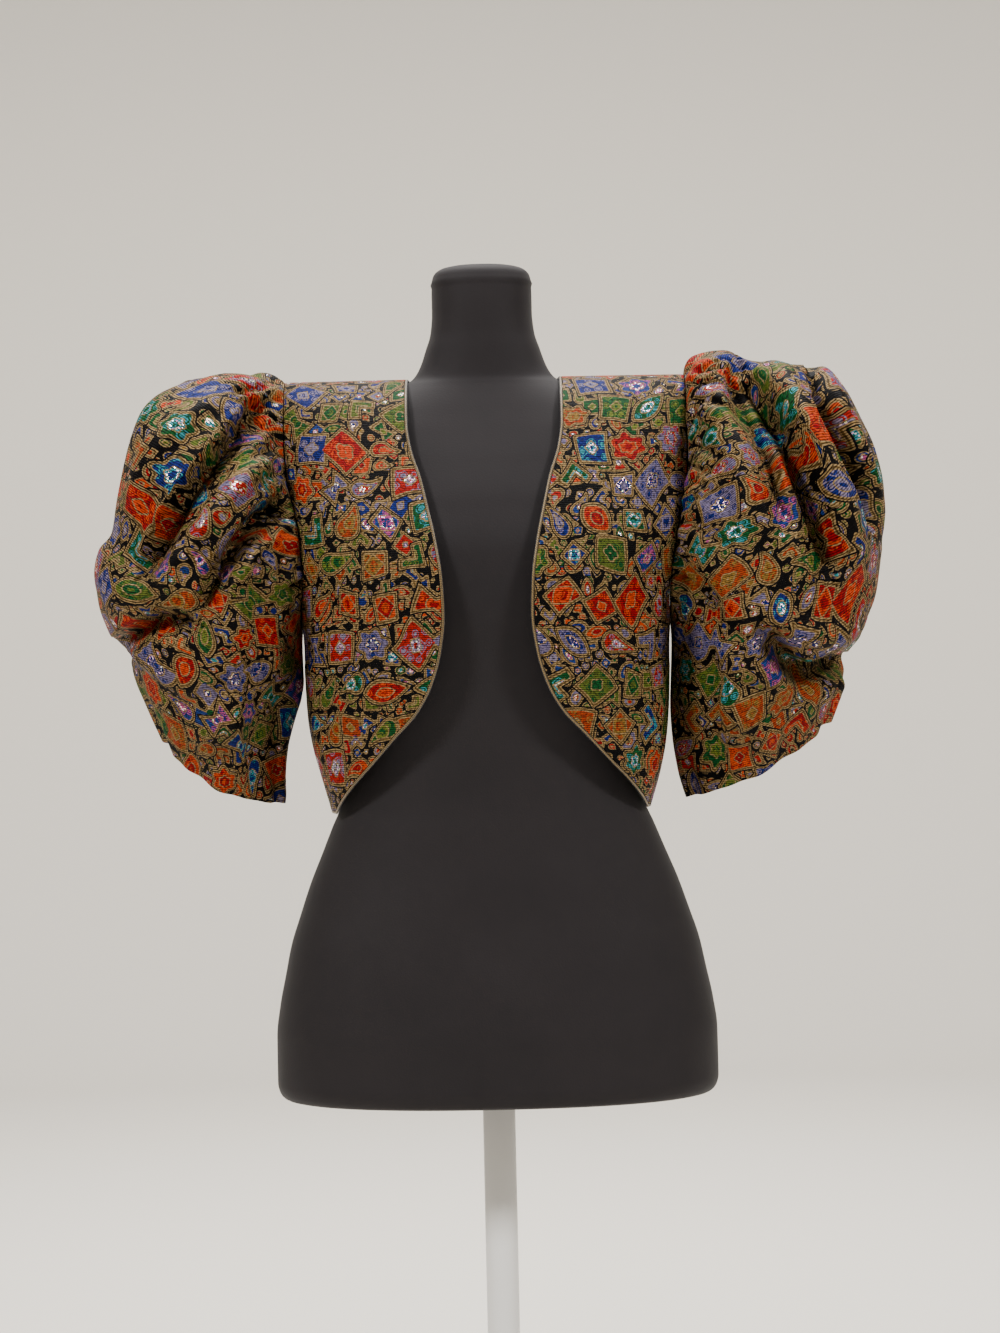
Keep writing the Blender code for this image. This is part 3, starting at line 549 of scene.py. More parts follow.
@dataclass(frozen=True)
class MotifLayer:
    """Motifs strewn on a brick grid of cells, each turned, shifted and sized by chance.

    Sizes are millimetres. Every motif has a smaller figure, its heart, inside it. Its swatch
    follows the weft's colours, which change in stripes down the cloth, with a few strays.
    """

    name: str
    pitch: float
    size: float
    band: float         # width of the gold band round each motif
    line: float         # half width of the pale outlines
    jitter: float
    salt: float
    motifs: tuple[Motif, ...]
    hearts: tuple[Motif, ...]
    stripe: float = 122.0       # length down the cloth over which the weft's colours recur
    lean: float = 0.35          # how far a motif leans from its eighth of a turn, in radians
    smallest: float = 0.82      # share of the size that the smallest motif has
    size_range: float = 0.36
    heart_share: float = 0.5
    colour_wander: float = 0.2
    true_share: float = 0.8     # of the motifs follow the stripes

    def fields(self, u: Array, v: Array) -> Array:
        """The layer's figures at points of the cloth.

        Args:
            u: place across the cloth.
            v: place down the cloth.

        Returns:
            A vector for each point: distance to the nearest motif, distance to its heart, and
            its swatch number.
        """
        best, heart, swatch = np.full(u.shape, FAR), np.full(u.shape, FAR), np.zeros(u.shape)
        for across, down in ((i, j) for j in (-1, 0, 1) for i in (-1, 0, 1)):
            row = np.floor(v / self.pitch) + down
            brick = 0.5 * np.mod(row, 2.0)
            column = np.floor(u / self.pitch - brick) + across
            aside, up, eighth, lean, large, kind, luck, stray = (
                chance(column, row, self.salt + number) for number in range(8))
            x = u - (column + brick + 0.5 + self.jitter * (aside - 0.5)) * self.pitch
            y = v - (row + 0.5 + self.jitter * (up - 0.5)) * self.pitch
            turn = np.pi / 4.0 * np.round(eighth * 8.0) + self.lean * (lean - 0.5)
            a, b = x * np.cos(turn) + y * np.sin(turn), y * np.cos(turn) - x * np.sin(turn)
            half = self.size * (self.smallest + self.size_range * large)
            pick = np.floor(kind * len(self.motifs)).astype(int)
            outer = np.choose(pick, [m.distance(a, b, half) for m in self.motifs])
            inner = np.choose(pick, [m.distance(a, b, half * self.heart_share) for m in self.hearts])
            nearer = outer < best
            best, heart = np.where(nearer, outer, best), np.where(nearer, inner, heart)
            dyed = (row + 0.5) * self.pitch / self.stripe + self.colour_wander * (luck - 0.5)
            dyed = np.where(stray > self.true_share, luck, dyed - np.floor(dyed))
            swatch = np.where(nearer, dyed, swatch)
        return np.stack([best, heart, swatch], axis=-1)


M = Motif
LAYERS = (
    MotifLayer("small", 9.2, 3.1, 0.0, 0.35, 0.5, 57.0,
               (M.DISC, M.SQUARE, M.DIAMOND, M.DISC),
               (M.DISC, M.DIAMOND, M.SQUARE, M.SQUARE)),
    MotifLayer("middle", 17.5, 6.4, 1.3, 0.4, 0.45, 31.0,
               (M.BOTEH, M.DIAMOND, M.SQUARE, M.HOOK, M.LEAF, M.CORNER, M.BOW, M.BOTEH, M.CORNER),
               (M.BOTEH, M.SQUARE, M.DIAMOND, M.DISC, M.LEAF, M.CORNER, M.DIAMOND, M.HOOK, M.DISC)),
    MotifLayer("large", 33.0, 12.0, 1.8, 0.45, 0.3, 11.0,
               (M.SQUARE, M.BOTEH, M.DIAMOND, M.CORNER, M.LEAF, M.SQUARE, M.BOW, M.ROSETTE, M.BOTEH),
               (M.DIAMOND, M.BOTEH, M.SQUARE, M.CORNER, M.LEAF, M.QUATREFOIL, M.DISC, M.ROSETTE, M.DISC)),
)


def brocade_fields(u: Array, v: Array) -> dict[str, Array]:
    """The brocade's design at points of the cloth, for its material to draw.

    The cloth's own places are first bent by two soft sine waves, so that no line is ruled.

    Args:
        u: place across the cloth.
        v: place down the cloth.

    Returns:
        A vector attribute for each layer.
    """
    sway = 2.2
    p = u + sway * np.sin(v / 12.5 + 1.9 * np.sin(u / 19.0))
    q = v + sway * np.sin(u / 11.0 + 1.7 * np.sin(v / 17.0))
    return {f"brocade_{layer.name}": layer.fields(p + layer.salt, q) for layer in LAYERS}


# Meshes

def grid_faces(rows: int, columns: int, first: int = 0, closed: bool = False) -> Array:
    """Quads of a grid whose points are numbered row by row from first."""
    row = np.arange(rows - 1)[:, None] * columns
    column = np.arange(columns if closed else columns - 1)[None, :]
    following = (column + 1) % columns
    corners = [row + column, row + following, row + columns + following, row + columns + column]
    return first + np.stack(corners, axis=-1).reshape(-1, 4)


def new_piece(name: str, points: Array, faces: list, uv: Array, slot: str,
              attributes: dict[str, Array] | None = None) -> bpy.types.Object:
    """A finished piece in the scene, at the origin, riding with the part.

    Args:
        name: the piece's name.
        points: millimetres.
        faces: point numbers of each face.
        uv: place across and down the cloth of each point, in millimetres.
        slot: the record's material slot.
        attributes: vectors for each point, by name.

    Returns:
        The object.
    """
    mesh = bpy.data.meshes.new(name)
    mesh.from_pydata((points.reshape(-1, 3) * MM).tolist(), [], faces)
    layer = mesh.uv_layers.new(name="cloth")
    corner = np.zeros(len(mesh.loops), dtype=np.int32)
    mesh.loops.foreach_get("vertex_index", corner)
    layer.data.foreach_set("uv", (uv.reshape(-1, 2)[corner] * MM).astype(np.float32).ravel())
    for key, value in (attributes or {}).items():
        attribute = mesh.attributes.new(key, "FLOAT_VECTOR", "POINT")
        attribute.data.foreach_set("vector", value.astype(np.float32).ravel())
    work = bmesh.new()
    work.from_mesh(mesh)
    bmesh.ops.remove_doubles(work, verts=work.verts, dist=TINY)
    bmesh.ops.recalc_face_normals(work, faces=work.faces)
    work.to_mesh(mesh)
    work.free()
    mesh.shade_smooth()
    mesh.set_sharp_from_angle(angle=math.radians(55))
    piece = bpy.data.objects.new(name, mesh)
    bpy.context.scene.collection.objects.link(piece)
    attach(piece, "root")
    mesh.materials.append(FINISHES[slot].build())
    log.info("%s: %d points", name, len(mesh.vertices))
    return piece


def cloth_wall(name: str, cloth: Cloth, wall: float, closed: bool = False) -> bpy.types.Object:
    """A brocade shell: a fine outer face, a coarser inner one and a rim along each open edge.

    Args:
        name: the piece's name.
        cloth: its outer points, rows by columns, with their inward vectors and cloth places.
        wall: thickness.
        closed: whether the last column meets the first.

    Returns:
        The object, with the brocade's fields on its points.
    """
    outer, inward, uv = cloth
    rows, columns = outer.shape[:2]
    kept_rows = np.unique(np.append(np.arange(0, rows, 2), rows - 1))
    kept_columns = np.unique(np.append(np.arange(0, columns, 2), [] if closed else columns - 1))
    kept_columns = kept_columns.astype(int)
    inner = (outer + wall * inward)[kept_rows][:, kept_columns]
    outside = np.arange(rows * columns).reshape(rows, columns)
    inside = outside.size + np.arange(inner[..., 0].size).reshape(inner.shape[:2])
    faces = grid_faces(rows, columns, 0, closed).tolist()
    faces += grid_faces(*inner.shape[:2], outside.size, closed)[:, ::-1].tolist()
    rims = [(outside[row], inside[row], kept_columns) for row in (0, -1)]
    if closed:
        rims = [(np.append(a, a[0]), np.append(b, b[0]), np.append(kept, columns))
                for a, b, kept in rims]
    else:
        rims += [(outside[:, column], inside[:, column], kept_rows) for column in (0, -1)]
    for fine, coarse, kept in rims:
        for number, (start, end) in enumerate(zip(kept[:-1], kept[1:])):
            faces.append(fine[start:end + 1].tolist() + coarse[[number + 1, number]].tolist())
    points = np.concatenate([outer.reshape(-1, 3), inner.reshape(-1, 3)])
    places = np.concatenate([uv.reshape(-1, 2), uv[kept_rows][:, kept_columns].reshape(-1, 2)])
    return new_piece(name, points, faces, places, "brocade", brocade_fields(*places.T))


def tube(name: str, line: Array, radius: float, sides: int, slot: str) -> bpy.types.Object:
    """A round cord along a line: a circle carried square to the line, closed at both ends.

    Args:
        name: the piece's name.
        line: points of its middle.
        radius: its radius.
        sides: points round it.
        slot: the record's material slot.

    Returns:
        The object. Its UV is the length round and along it.
    """
    steepness = np.array([1.0, 1.0, 0.35])      # the circle starts away from the part's axis
    ahead = unit(np.gradient(line, axis=0))
    away = (line - [0.0, 0.0, line[:, 2].mean()]) * steepness
    away = unit(away - (away * ahead).sum(-1, keepdims=True) * ahead)
    aside = np.cross(ahead, away)
    angle = np.linspace(0.0, 2.0 * np.pi, sides, endpoint=False)
    ring = away[:, None] * np.cos(angle)[:, None] + aside[:, None] * np.sin(angle)[:, None]
    ends = [np.repeat(line[[end]][:, None], sides, axis=1) for end in (0, -1)]
    points = np.concatenate([ends[0], line[:, None] + radius * ring, ends[1]])
    along = running_length(points, 0)
    faces = grid_faces(len(points), sides, 0, closed=True).tolist()
    uv = np.stack([np.broadcast_to(angle * radius, along.shape), along], axis=-1)
    return new_piece(name, points, faces, uv, slot)


# The jacket's body

@dataclass
class BodyCut:
    """The form that the fronts and the back share: a superellipse at each height.

    down is the share of the way down the cloth from the shoulder ridge to the hem, and
    across the share from the centre plane to the armhole seam or the side seam.
    """

    roundness: float = 2.5
    underarm: float = 385.0
    shoulder: float = 586.5
    shoulder_crowding: float = 1.3
    arc_steps: int = 25         # points along an arc whose length is measured

    def __post_init__(self) -> None:
        """Measure the cloth's length down the front."""
        step = np.hypot(np.diff(BODY["height"]), np.diff(BODY["front"]))
        down = np.concatenate([[0.0], np.cumsum(step)])
        self.length = float(down[-1])
        self.known = down / down[-1]

    def section(self, down: Array, side: Side) -> tuple[Array, Array]:
        """Height and half width of the body."""
        return smooth(down, self.known, BODY["height"]), smooth(down, self.known, BODY[side.label])

    def seam_angle(self, height: Array, half_width: Array, side: Side, face: Face) -> Array:
        """The section's angle at its armhole seam, and a right angle below the underarm."""
        seam = smooth(height, ARMHOLE["height"], ARMHOLE[f"{side.label}_{face.label}"])
        reach = np.clip(seam / half_width, 0.0, 1.0) ** (self.roundness / 2.0)
        return np.where(height > self.underarm, np.arcsin(reach), np.pi / 2.0)

    def point(self, down: Array, across: Array, side: Side, face: Face) -> Array:
        """A point: x = A sin(a)^(2/n) and y = depth cos(a)^(2/n), with a across its seam angle.

        Args:
            down: share down the cloth.
            across: share across it.
            side: the wearer's side.
            face: front or back.

        Returns:
            The points in millimetres.
        """
        height, half_width = self.section(down, side)
        depth = smooth(down, self.known, BODY[face.label])
        angle = across * self.seam_angle(height, half_width, side, face)
        x = side.value * half_width * np.sin(angle) ** (2.0 / self.roundness)
        y = face.value * depth * np.cos(angle) ** (2.0 / self.roundness)
        return np.stack([x, y, UNDERSIDE + height], axis=-1)

    def share_at_width(self, down: Array, width: Array, side: Side, face: Face) -> Array:
        """The share across at which the body is a given width out from the centre plane."""
        height, half_width = self.section(down, side)
        edge = np.clip(width / half_width, 0.0, 1.0) ** (self.roundness / 2.0)
        return np.arcsin(edge) / self.seam_angle(height, half_width, side, face)

    def down_at(self, height: Array, side: Side) -> Array:
        """The share down the cloth of a height."""
        fine = np.linspace(0.0, 1.0, SAMPLES)
        return np.interp(-np.asarray(height), -self.section(fine, side)[0], fine)

    def row_shares(self, upper: int, lower: int) -> Array:
        """Shares down a panel, closer together near the shoulder, with one at the underarm."""
        middle = float(self.down_at(self.underarm, Side.RIGHT))
        above = middle * np.linspace(0.0, 1.0, upper + 1) ** self.shoulder_crowding
        return np.concatenate([above, np.linspace(middle, 1.0, lower + 1)[1:]])

    def places(self, down: Array, across: Array, side: Side, face: Face) -> Array:
        """Each point's place on the cloth: the section's arc length from the centre, and down."""
        share = np.linspace(0.0, 1.0, self.arc_steps)[:, None, None]
        rows = np.broadcast_to(down, (self.arc_steps, *down.shape))
        arc = self.point(rows, across * share, side, face)
        length = np.linalg.norm(np.diff(arc, axis=0), axis=-1).sum(axis=0)
        return np.stack([side.value * length, down * self.length], axis=-1)


@dataclass
class Panels:
    """The two fronts and the back: outer faces, cloth places and their edges."""

    cut: BodyCut
    wall: float = 2.0
    upper_rows: int = 140
    lower_rows: int = 92
    front_columns: int = 124
    neck_columns: int = 52
    shoulder_columns: int = 82
    margin: float = 12.0        # creases fade over this much at a panel's edges
    centre_fade: float = 30.0   # and over this much at the centre back
    shoulder_fade: float = 0.2  # and over this share of the back below the shoulder
    roll_depth: float = 0.35    # the cloth turns down into its seams by this much
    roll_width: float = 1.5
    centre_drop: float = 60.0   # the cloth's normals point away from this far below its middle
    back_place: tuple[float, float] = (900.0, 60.0)     # where the back is cut from the cloth
    piping_radius: float = 1.2
    piping_sides: int = 14

    def front_shares(self, side: Side) -> tuple[Array, Array]:
        """Shares down and across for a front, from its curved edge to the armhole and side."""
        down = self.cut.row_shares(self.upper_rows, self.lower_rows)
        height = self.cut.section(down, side)[0]
        opening = smooth(height, FRONT_EDGE["height"], FRONT_EDGE["half_opening"])
        edge = self.cut.share_at_width(down, opening, side, Face.FRONT)
        step = np.linspace(0.0, 1.0, self.front_columns)
        return np.repeat(down[:, None], len(step), axis=1), edge[:, None] + (1 - edge)[:, None] * step

    def back_shares(self, side: Side) -> tuple[Array, Array]:
        """Shares down and across for half a back, from the centre to the armhole and side."""
        neck, seam = BACK_NECK["half_opening"], ARMHOLE[f"{side.label}_back"][-1]
        out = np.concatenate([np.linspace(0.0, neck[-1], self.neck_columns + 1),
                              np.linspace(neck[-1], seam, self.shoulder_columns + 1)[1:]])
        across = self.cut.share_at_width(np.zeros_like(out), out, side, Face.BACK)
        neckline = smooth(out, neck, BACK_NECK["height"])
        start = self.cut.down_at(np.where(out < neck[-1], neckline, self.cut.shoulder), side)
        share = self.cut.row_shares(self.upper_rows, self.lower_rows)
        down = start[None, :] + (1.0 - start[None, :]) * share[:, None]
        return down, np.repeat(across[None, :], len(share), axis=0)

    def finished(self, outer: Array, face: Face, creases: tuple[Crease, ...],
                 rolled: tuple[bool, bool, bool, bool]) -> tuple[Array, Array]:
        """Creases lift the cloth square to its face, and its seamed edges roll down.

        Args:
            outer: the panel's points.
            face: front or back.
            creases: the panel's own creases.
            rolled: which of the top, bottom, first and last edges are seamed.

        Returns:
            The outer points, half a seam gap off the other face's, and unit vectors inwards.
        """
        out = normals(outer, np.array([0.0, 0.0, outer[..., 2].mean() - self.centre_drop]))
        lift = crease_lift(np.abs(outer[..., 0]), outer[..., 2] - UNDERSIDE, creases)
        down, across = running_length(outer, 0), running_length(outer, 1)
        edges = (down, down[-1] - down, across, across[:, -1:] - across)
        lift *= ease(np.min(edges, axis=0) / self.margin)
        for distance, wanted in zip(edges, rolled):
            lift -= wanted * self.roll_depth * bell(distance, self.roll_width)
        outer = outer + out * lift[..., None]
        apart = np.array([0.0, face.value * SEAM_GAP / 2.0, 0.0])
        return outer + apart, -out

    def front(self, side: Side) -> Cloth:
        """A front's cloth, from its curved edge to the armhole and side."""
        down, across = self.front_shares(side)
        outer = self.cut.point(down, across, side, Face.FRONT)
        seamed = (True, False, False, True)
        finished = self.finished(outer, Face.FRONT, FRONT_CREASES[side], seamed)
        return *finished, self.cut.places(down, across, side, Face.FRONT)

    def back(self) -> Cloth:
        """The back's cloth, from the right side seam to the left one."""
        parts = []
        for side in Side:
            down, across = self.back_shares(side)
            outer = self.cut.point(down, across, side, Face.BACK)
            out = np.abs(outer[..., 0])
            lift = crease_lift(out, outer[..., 2] - UNDERSIDE, BACK_CREASES[side])
            lift *= ease(out / self.centre_fade) * ease((1.0 - down) * self.cut.length / self.margin)
            outer[..., 1] += lift * ease(down / self.shoulder_fade)
            parts.append((outer, self.cut.places(down, across, side, Face.BACK) + self.back_place))
        outer, places = (np.concatenate([a[:, :0:-1], b], axis=1) for a, b in zip(*parts))
        return *self.finished(outer, Face.BACK, (), (False, False, True, True)), places

    def beside(self, edge: Array, within: Array) -> Array:
        """Points beside a panel's edge, clear of it by the seam gap and the piping's radius."""
        along = unit(np.gradient(edge, axis=0))
        away = edge - within
        away = unit(away - (away * along).sum(axis=-1, keepdims=True) * along)
        return edge + away * (SEAM_GAP + self.piping_radius)

    def build(self) -> None:
        """The fronts, the back and the piping round their edges."""
        for side in Side:
            cloth = self.front(side)
            name = f"{side.label}_front"
            piece = cloth_wall(f"{name}_brocade", cloth, self.wall)
            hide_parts(name)
            middle = cloth[0] + cloth[1] * self.wall / 2.0
            edge, hem = self.beside(middle[:, 0], middle[:, 1]), self.beside(middle[-1], middle[-2])
            corner = edge[-1] + hem[0] - middle[-1, 0]
            self.pipe(np.concatenate([edge[:-2], [corner], hem[2:]]), f"{side.label}_front_piping")
        cloth = self.back()
        piece = cloth_wall("back_brocade", cloth, self.wall)
        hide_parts("back")
        middle = cloth[0] + cloth[1] * self.wall / 2.0
        self.pipe(self.beside(middle[-1], middle[-2]), "back_hem_piping")
        neck = slice(self.shoulder_columns, middle.shape[1] - self.shoulder_columns)
        self.pipe(self.beside(middle[0, neck], middle[1, neck]), "back_neck_piping")

    def pipe(self, line: Array, node: str) -> None:
        """A piping along a line, in place of its node, its ends drawn back by the seam gap."""
        line = line[::2] if len(line) % 2 else np.append(line[::2], line[-1:], axis=0)
        start, end = (line[[a]] + SEAM_GAP * unit(line[[b]] - line[[a]]) for a, b in ((0, 1), (-1, -2)))
        line = np.concatenate([start, line[1:-1], end])
        piece = tube(f"{node}_cord", line, self.piping_radius, self.piping_sides, "piping")
        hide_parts(node)


# The sleeves

@dataclass
class Sleeve:
    """A puffed sleeve: rings from the armhole to the hem, with folds, creases and gathers."""

    side: Side
    cut: BodyCut
    hem_bow: float
    wall: float = 1.8
    roundness: float = 2.25
    rows: int = 186
    columns: int = 396
    row_crowding: float = 1.12      # rows lie closer near the gathered head
    underarm_lag: float = 1.35      # the underarm line's rows crowd towards the armhole
    loop_rows: int = 60
    head_gap: float = 0.4
    head_share: float = 0.10        # share of the length over which the head eases from the armhole
    bow_power: float = 6            # keeps the hem's bow near the hem
    wedge: float = 0.62             # how much the depth narrows towards the body
    wedge_width: float = 42.0
    wedge_start: float = 0.05       # shares of the length at which the wedge starts and over which
    wedge_ease: float = 0.3         # it grows
    fold_fade: float = 0.06
    forward_share: float = 1.0      # folds rise partly to the front or back, which keeps the outline
    facing_band: float = 40.0       # depth over which the front's folds give way to the back's
    gathers: int = 28
    plain_share: float = 0.08       # of the armhole at each side of the underarm, with no gathers
    plain_ease: float = 0.03
    gather_depth: float = 9.0
    gather_peak: float = 0.032
    gather_power: float = 0.6       # rounds the ridges and narrows the valleys
    gather_mean: float = 0.62       # the wave's own mean, taken off it
    hem_wave: float = 1.5
    hem_start: float = 0.75
    roll_depth: float = 0.4         # the head's edge turns down into its seam by this much
    roll_width: float = 1.6
    flat_step: int = 6              # every such row and column is laid flat to place the pattern
    cloth_place: tuple[float, float] = (3000.0, 1000.0)     # where the sleeve is cut from the cloth

    def loop(self, share: Array) -> Array:
        """Points round the armhole, from the underarm up the front and down the back."""
        down = self.cut.row_shares(self.loop_rows, 1)[:-1]
        front = self.cut.point(down[::-1], np.ones_like(down), self.side, Face.FRONT)
        back = self.cut.point(down, np.ones_like(down), self.side, Face.BACK)
        loop = np.concatenate([front, back[1:]])
        length = running_length(loop, 0)
        wanted = share * length[-1]
        return np.stack([np.interp(wanted, length, loop[:, axis]) for axis in range(3)], axis=-1)

    def rings(self, along: Array, share: Array) -> Array:
        """Rings on a chord from the underarm line to the outline, with the puff's depth.

        With a the angle round and p = 2 / roundness, the chord's share is (1 − cos(a)^p) / 2
        and the depth is sin(a)^p, narrowed to a wedge beside the body. Towards the hem the chord
        bows out and down.

        Args:
            along: shares of the sleeve's length.
            share: shares of the way round.

        Returns:
            Points, rows by columns.
        """
        outer_out, outer_height = smooth_path(along, OUTLINE[self.side])
        inner_out, inner_height = smooth_path(along ** self.underarm_lag, UNDERARM[self.side])
        angle, power = 2.0 * np.pi * share, 2.0 / self.roundness
        chord = (1.0 - signed_power(np.cos(angle), power)) / 2.0
        depth = signed_power(np.sin(angle), power)
        run_out, run_height = outer_out - inner_out, outer_height - inner_height
        bow = self.hem_bow * along ** self.bow_power / np.hypot(run_out, run_height)
        arch = 4.0 * chord * (1.0 - chord)
        out = np.outer(run_out, chord) + np.outer(bow * run_height, arch) + inner_out[:, None]
        height = np.outer(run_height, chord) - np.outer(bow * run_out, arch) + inner_height[:, None]
        beside = np.outer(np.hypot(run_out, run_height), chord) / self.wedge_width
        grown = ease((along[:, None] - self.wedge_start) / self.wedge_ease)
        narrow = 1.0 - self.wedge * grown * (1.0 - ease(beside))
        front, back = (smooth(along, PUFF["along"], PUFF[face])[:, None] for face in ("front", "back"))
        y = -np.where(depth > 0.0, front, back) * depth * narrow
        return np.stack([self.side.value * out, y, UNDERSIDE + height], axis=-1)

    def base(self, along: Array, share: Array) -> Array:
        """The rings, eased from the armhole's own loop over the sleeve head."""
        loop = self.loop(share) + np.array([self.side.value * self.head_gap, 0.0, 0.0])
        away = 1.0 - ease(along / self.head_share)
        return self.rings(along, share) + away[:, None, None] * (loop - self.rings(np.zeros(1), share))

    def gathered(self, along: Array, share: Array) -> Array:
        """Height of the gathers, whose ridges are round and valleys narrow.

        Round the armhole it is |cos|^0.6 of half the turn, its phase, strength and length
        swayed by slow sines, and along the sleeve run/peak × exp(1 − run/peak).

        Args:
            along: shares of the sleeve's length.
            share: shares of the way round.

        Returns:
            A height for each point.
        """
        plain = self.plain_share
        turn = (share - plain) / (1.0 - 2.0 * plain) * self.gathers * np.pi
        turn += 0.9 * np.sin(share * 31.0) + 0.5 * np.sin(share * 73.0 + 1.0)
        strength = 0.75 + 0.35 * np.sin(share * 47.0 + 2.0) + 0.25 * np.sin(share * 101.0)
        peak = self.gather_peak * (1.0 + 0.45 * np.sin(share * 61.0 + 0.7))
        within = ease((share - plain) / self.plain_ease) * ease((1 - plain - share) / self.plain_ease)
        run = along[:, None] / peak[None, :]
        wave = np.abs(np.cos(turn)) ** self.gather_power - self.gather_mean
        return self.gather_depth * run * np.exp(1.0 - run) * (wave * strength * within)[None, :]

    def cloth(self) -> Cloth:
        """The sleeve's cloth: folds rise from the rings, then gathers, hem waves and a rolled edge."""
        along = np.linspace(0.0, 1.0, self.rows) ** self.row_crowding
        share = np.linspace(0.0, 1.0, self.columns, endpoint=False)
        base = self.base(along, share)
        out = normals(base, base.mean(axis=1, keepdims=True), closed=True)
        aside, height = self.side.value * base[..., 0], base[..., 2] - UNDERSIDE
        facing = ease(0.5 - base[..., 1] / self.facing_band)
        lift = sum(weight * crease_lift(aside, height, SLEEVE_CREASES[side])
                   for weight, side in ((facing, self.side), (1.0 - facing, self.side.other)))
        run = along[:, None]
        for fade in (run, 1.0 - run):
            lift *= np.clip(fade / self.fold_fade, 0.0, 1.0)
        forward = np.stack([0.0 * lift, 1.0 - 2.0 * facing, 0.0 * lift], axis=-1)
        folded = base + unit(out + self.forward_share * forward) * lift[..., None]
        roll = self.roll_depth * bell(running_length(folded, 0), self.roll_width)
        waves = np.sin(share * 57.0 + 1.0) + 0.7 * np.sin(share * 95.0 + 4.0 * run)
        waves *= self.hem_wave * ease((run - self.hem_start) / (1.0 - self.hem_start))
        outer = folded + out * (self.gathered(along, share) + waves - roll)[..., None]
        inward = -normals(outer, outer.mean(axis=1, keepdims=True), closed=True)
        return outer, inward, self.places(folded, along, share)

    def places(self, folded: Array, along: Array, share: Array) -> Array:
        """Each point's place on the cloth, from the folded sleeve slit at the underarm and laid flat.

        The first guess takes rings as level lines and the outside line as upright.

        Args:
            folded: the sleeve's points before its gathers.
            along: their rows' shares of its length.
            share: their columns' shares of the way round.

        Returns:
            Places across and down the cloth.
        """
        rows = np.unique(np.append(np.arange(0, self.rows, self.flat_step), self.rows - 1))
        columns = np.arange(0, self.columns + 1, self.flat_step)
        grid = folded[rows][:, columns % self.columns]
        middle = len(columns) // 2
        across = running_length(grid, 1)
        across -= across[:, [middle]]
        down = np.broadcast_to(running_length(grid, 0)[:, [middle]], across.shape)
        flat = flattened(grid, np.stack([across, down], axis=-1))
        flat = spread(flat, along[rows], columns / self.columns, along, share)
        return (flat + self.cloth_place) * [self.side.value, 1.0]

    def build(self) -> None:
        """The sleeve, in place of its node."""
        name = f"{self.side.label}_sleeve"
        piece = cloth_wall(f"{name}_brocade", self.cloth(), self.wall, closed=True)
        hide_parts(name)


# The dress form and its stand

def turned(profile: Array, steps: int) -> tuple[Array, Array]:
    """A profile of (radius, height) carried round the upright axis.

    Args:
        profile: radius and height of each row.
        steps: points round.

    Returns:
        The grid's points and their places: arc length round and length along the profile.
    """
    angle = np.linspace(0.0, 2.0 * np.pi, steps, endpoint=False)
    radius, height = profile[:, :1], profile[:, 1:]
    points = np.stack([radius * np.cos(angle), radius * np.sin(angle),
                       np.broadcast_to(height, (len(profile), steps))], axis=-1)
    length = running_length(profile, 0)
    return points, np.stack(np.broadcast_arrays(radius * angle, length[:, None]), axis=-1)


@dataclass
class DressForm:
    """The torso: superellipse sections up its height, with two mounds for the bust."""

    roundness: float = 2.3
    points_round: int = 160
    rows: int = 300
    bust_out: float = 70.0
    bust_height: float = 425.0
    bust_spread: float = 40.0
    bust_depth: float = 11.0
    bore: float = 13.6
    socket: float = 120.0
    seam_height: float = 663.0      # where the cover's neck cap is sewn on
    seam_rise: float = 0.7
    seam_width: float = 1.5
    stitch_drop: float = 3.5        # the stitched line below the seam
    stitch_share: float = 0.5
    stitch_width: float = 1.2

    def rings(self, angle: Array) -> Array:
        """The sections from the underside up: x = A cos(a)^(2/n) and y = depth sin(a)^(2/n)."""
        along = signed_power(np.cos(angle), 2.0 / self.roundness)
        across = signed_power(np.sin(angle), 2.0 / self.roundness)
        step = np.hypot(np.diff(FORM["half_width"]), np.diff(FORM["height"]))
        known = np.concatenate([[0.0], np.cumsum(step)])
        at = np.linspace(0.0, known[-1], self.rows)
        height, half_width, front, back = (smooth(at, known, column)[:, None]
                                           for column in FORM.values())
        above = height - self.seam_height
        seam = self.seam_rise * bell(above, self.seam_width)
        seam -= self.stitch_share * self.seam_rise * bell(above + self.stitch_drop, self.stitch_width)
        x = (half_width + seam) * along
        y = np.where(across < 0.0, front + seam, back + seam) * across
        lift = (height - self.bust_height) ** 2
        mound = sum(np.exp(-((x - side.value * self.bust_out) ** 2 + lift) / (2.0 * self.bust_spread ** 2))
                    for side in Side)
        y -= np.where(across < 0.0, self.bust_depth * mound * np.abs(across), 0.0)
        return np.stack([x, y, UNDERSIDE + height + 0.0 * x], axis=-1)

    def build(self) -> None:
        """The torso, in place of its node: from the socket's end, out under the base and up."""
        angle = np.linspace(0.0, 2.0 * np.pi, self.points_round, endpoint=False)
        rings = self.rings(angle)
        circle = np.stack([np.cos(angle), np.sin(angle), 0.0 * angle], axis=-1)
        inside = [np.array([0.0, 0.0, UNDERSIDE + z]) + r * circle
                  for r, z in ((0.0, self.socket), (self.bore, self.socket), (self.bore, 0.0))]
        top = np.array([0.0, 0.0, UNDERSIDE + FORM["height"][-1]])
        crown = [top + share * (rings[-1] - top) for share in (0.7, 0.35, 0.0)]
        grid = np.concatenate([inside, rings, crown])
        uv = np.stack([running_length(grid, 1), running_length(grid, 0)], axis=-1)
        faces = grid_faces(len(grid), self.points_round, 0, closed=True).tolist()
        piece = new_piece("form_jersey_torso", grid, faces, uv, "form_jersey")
        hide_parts("form_torso")


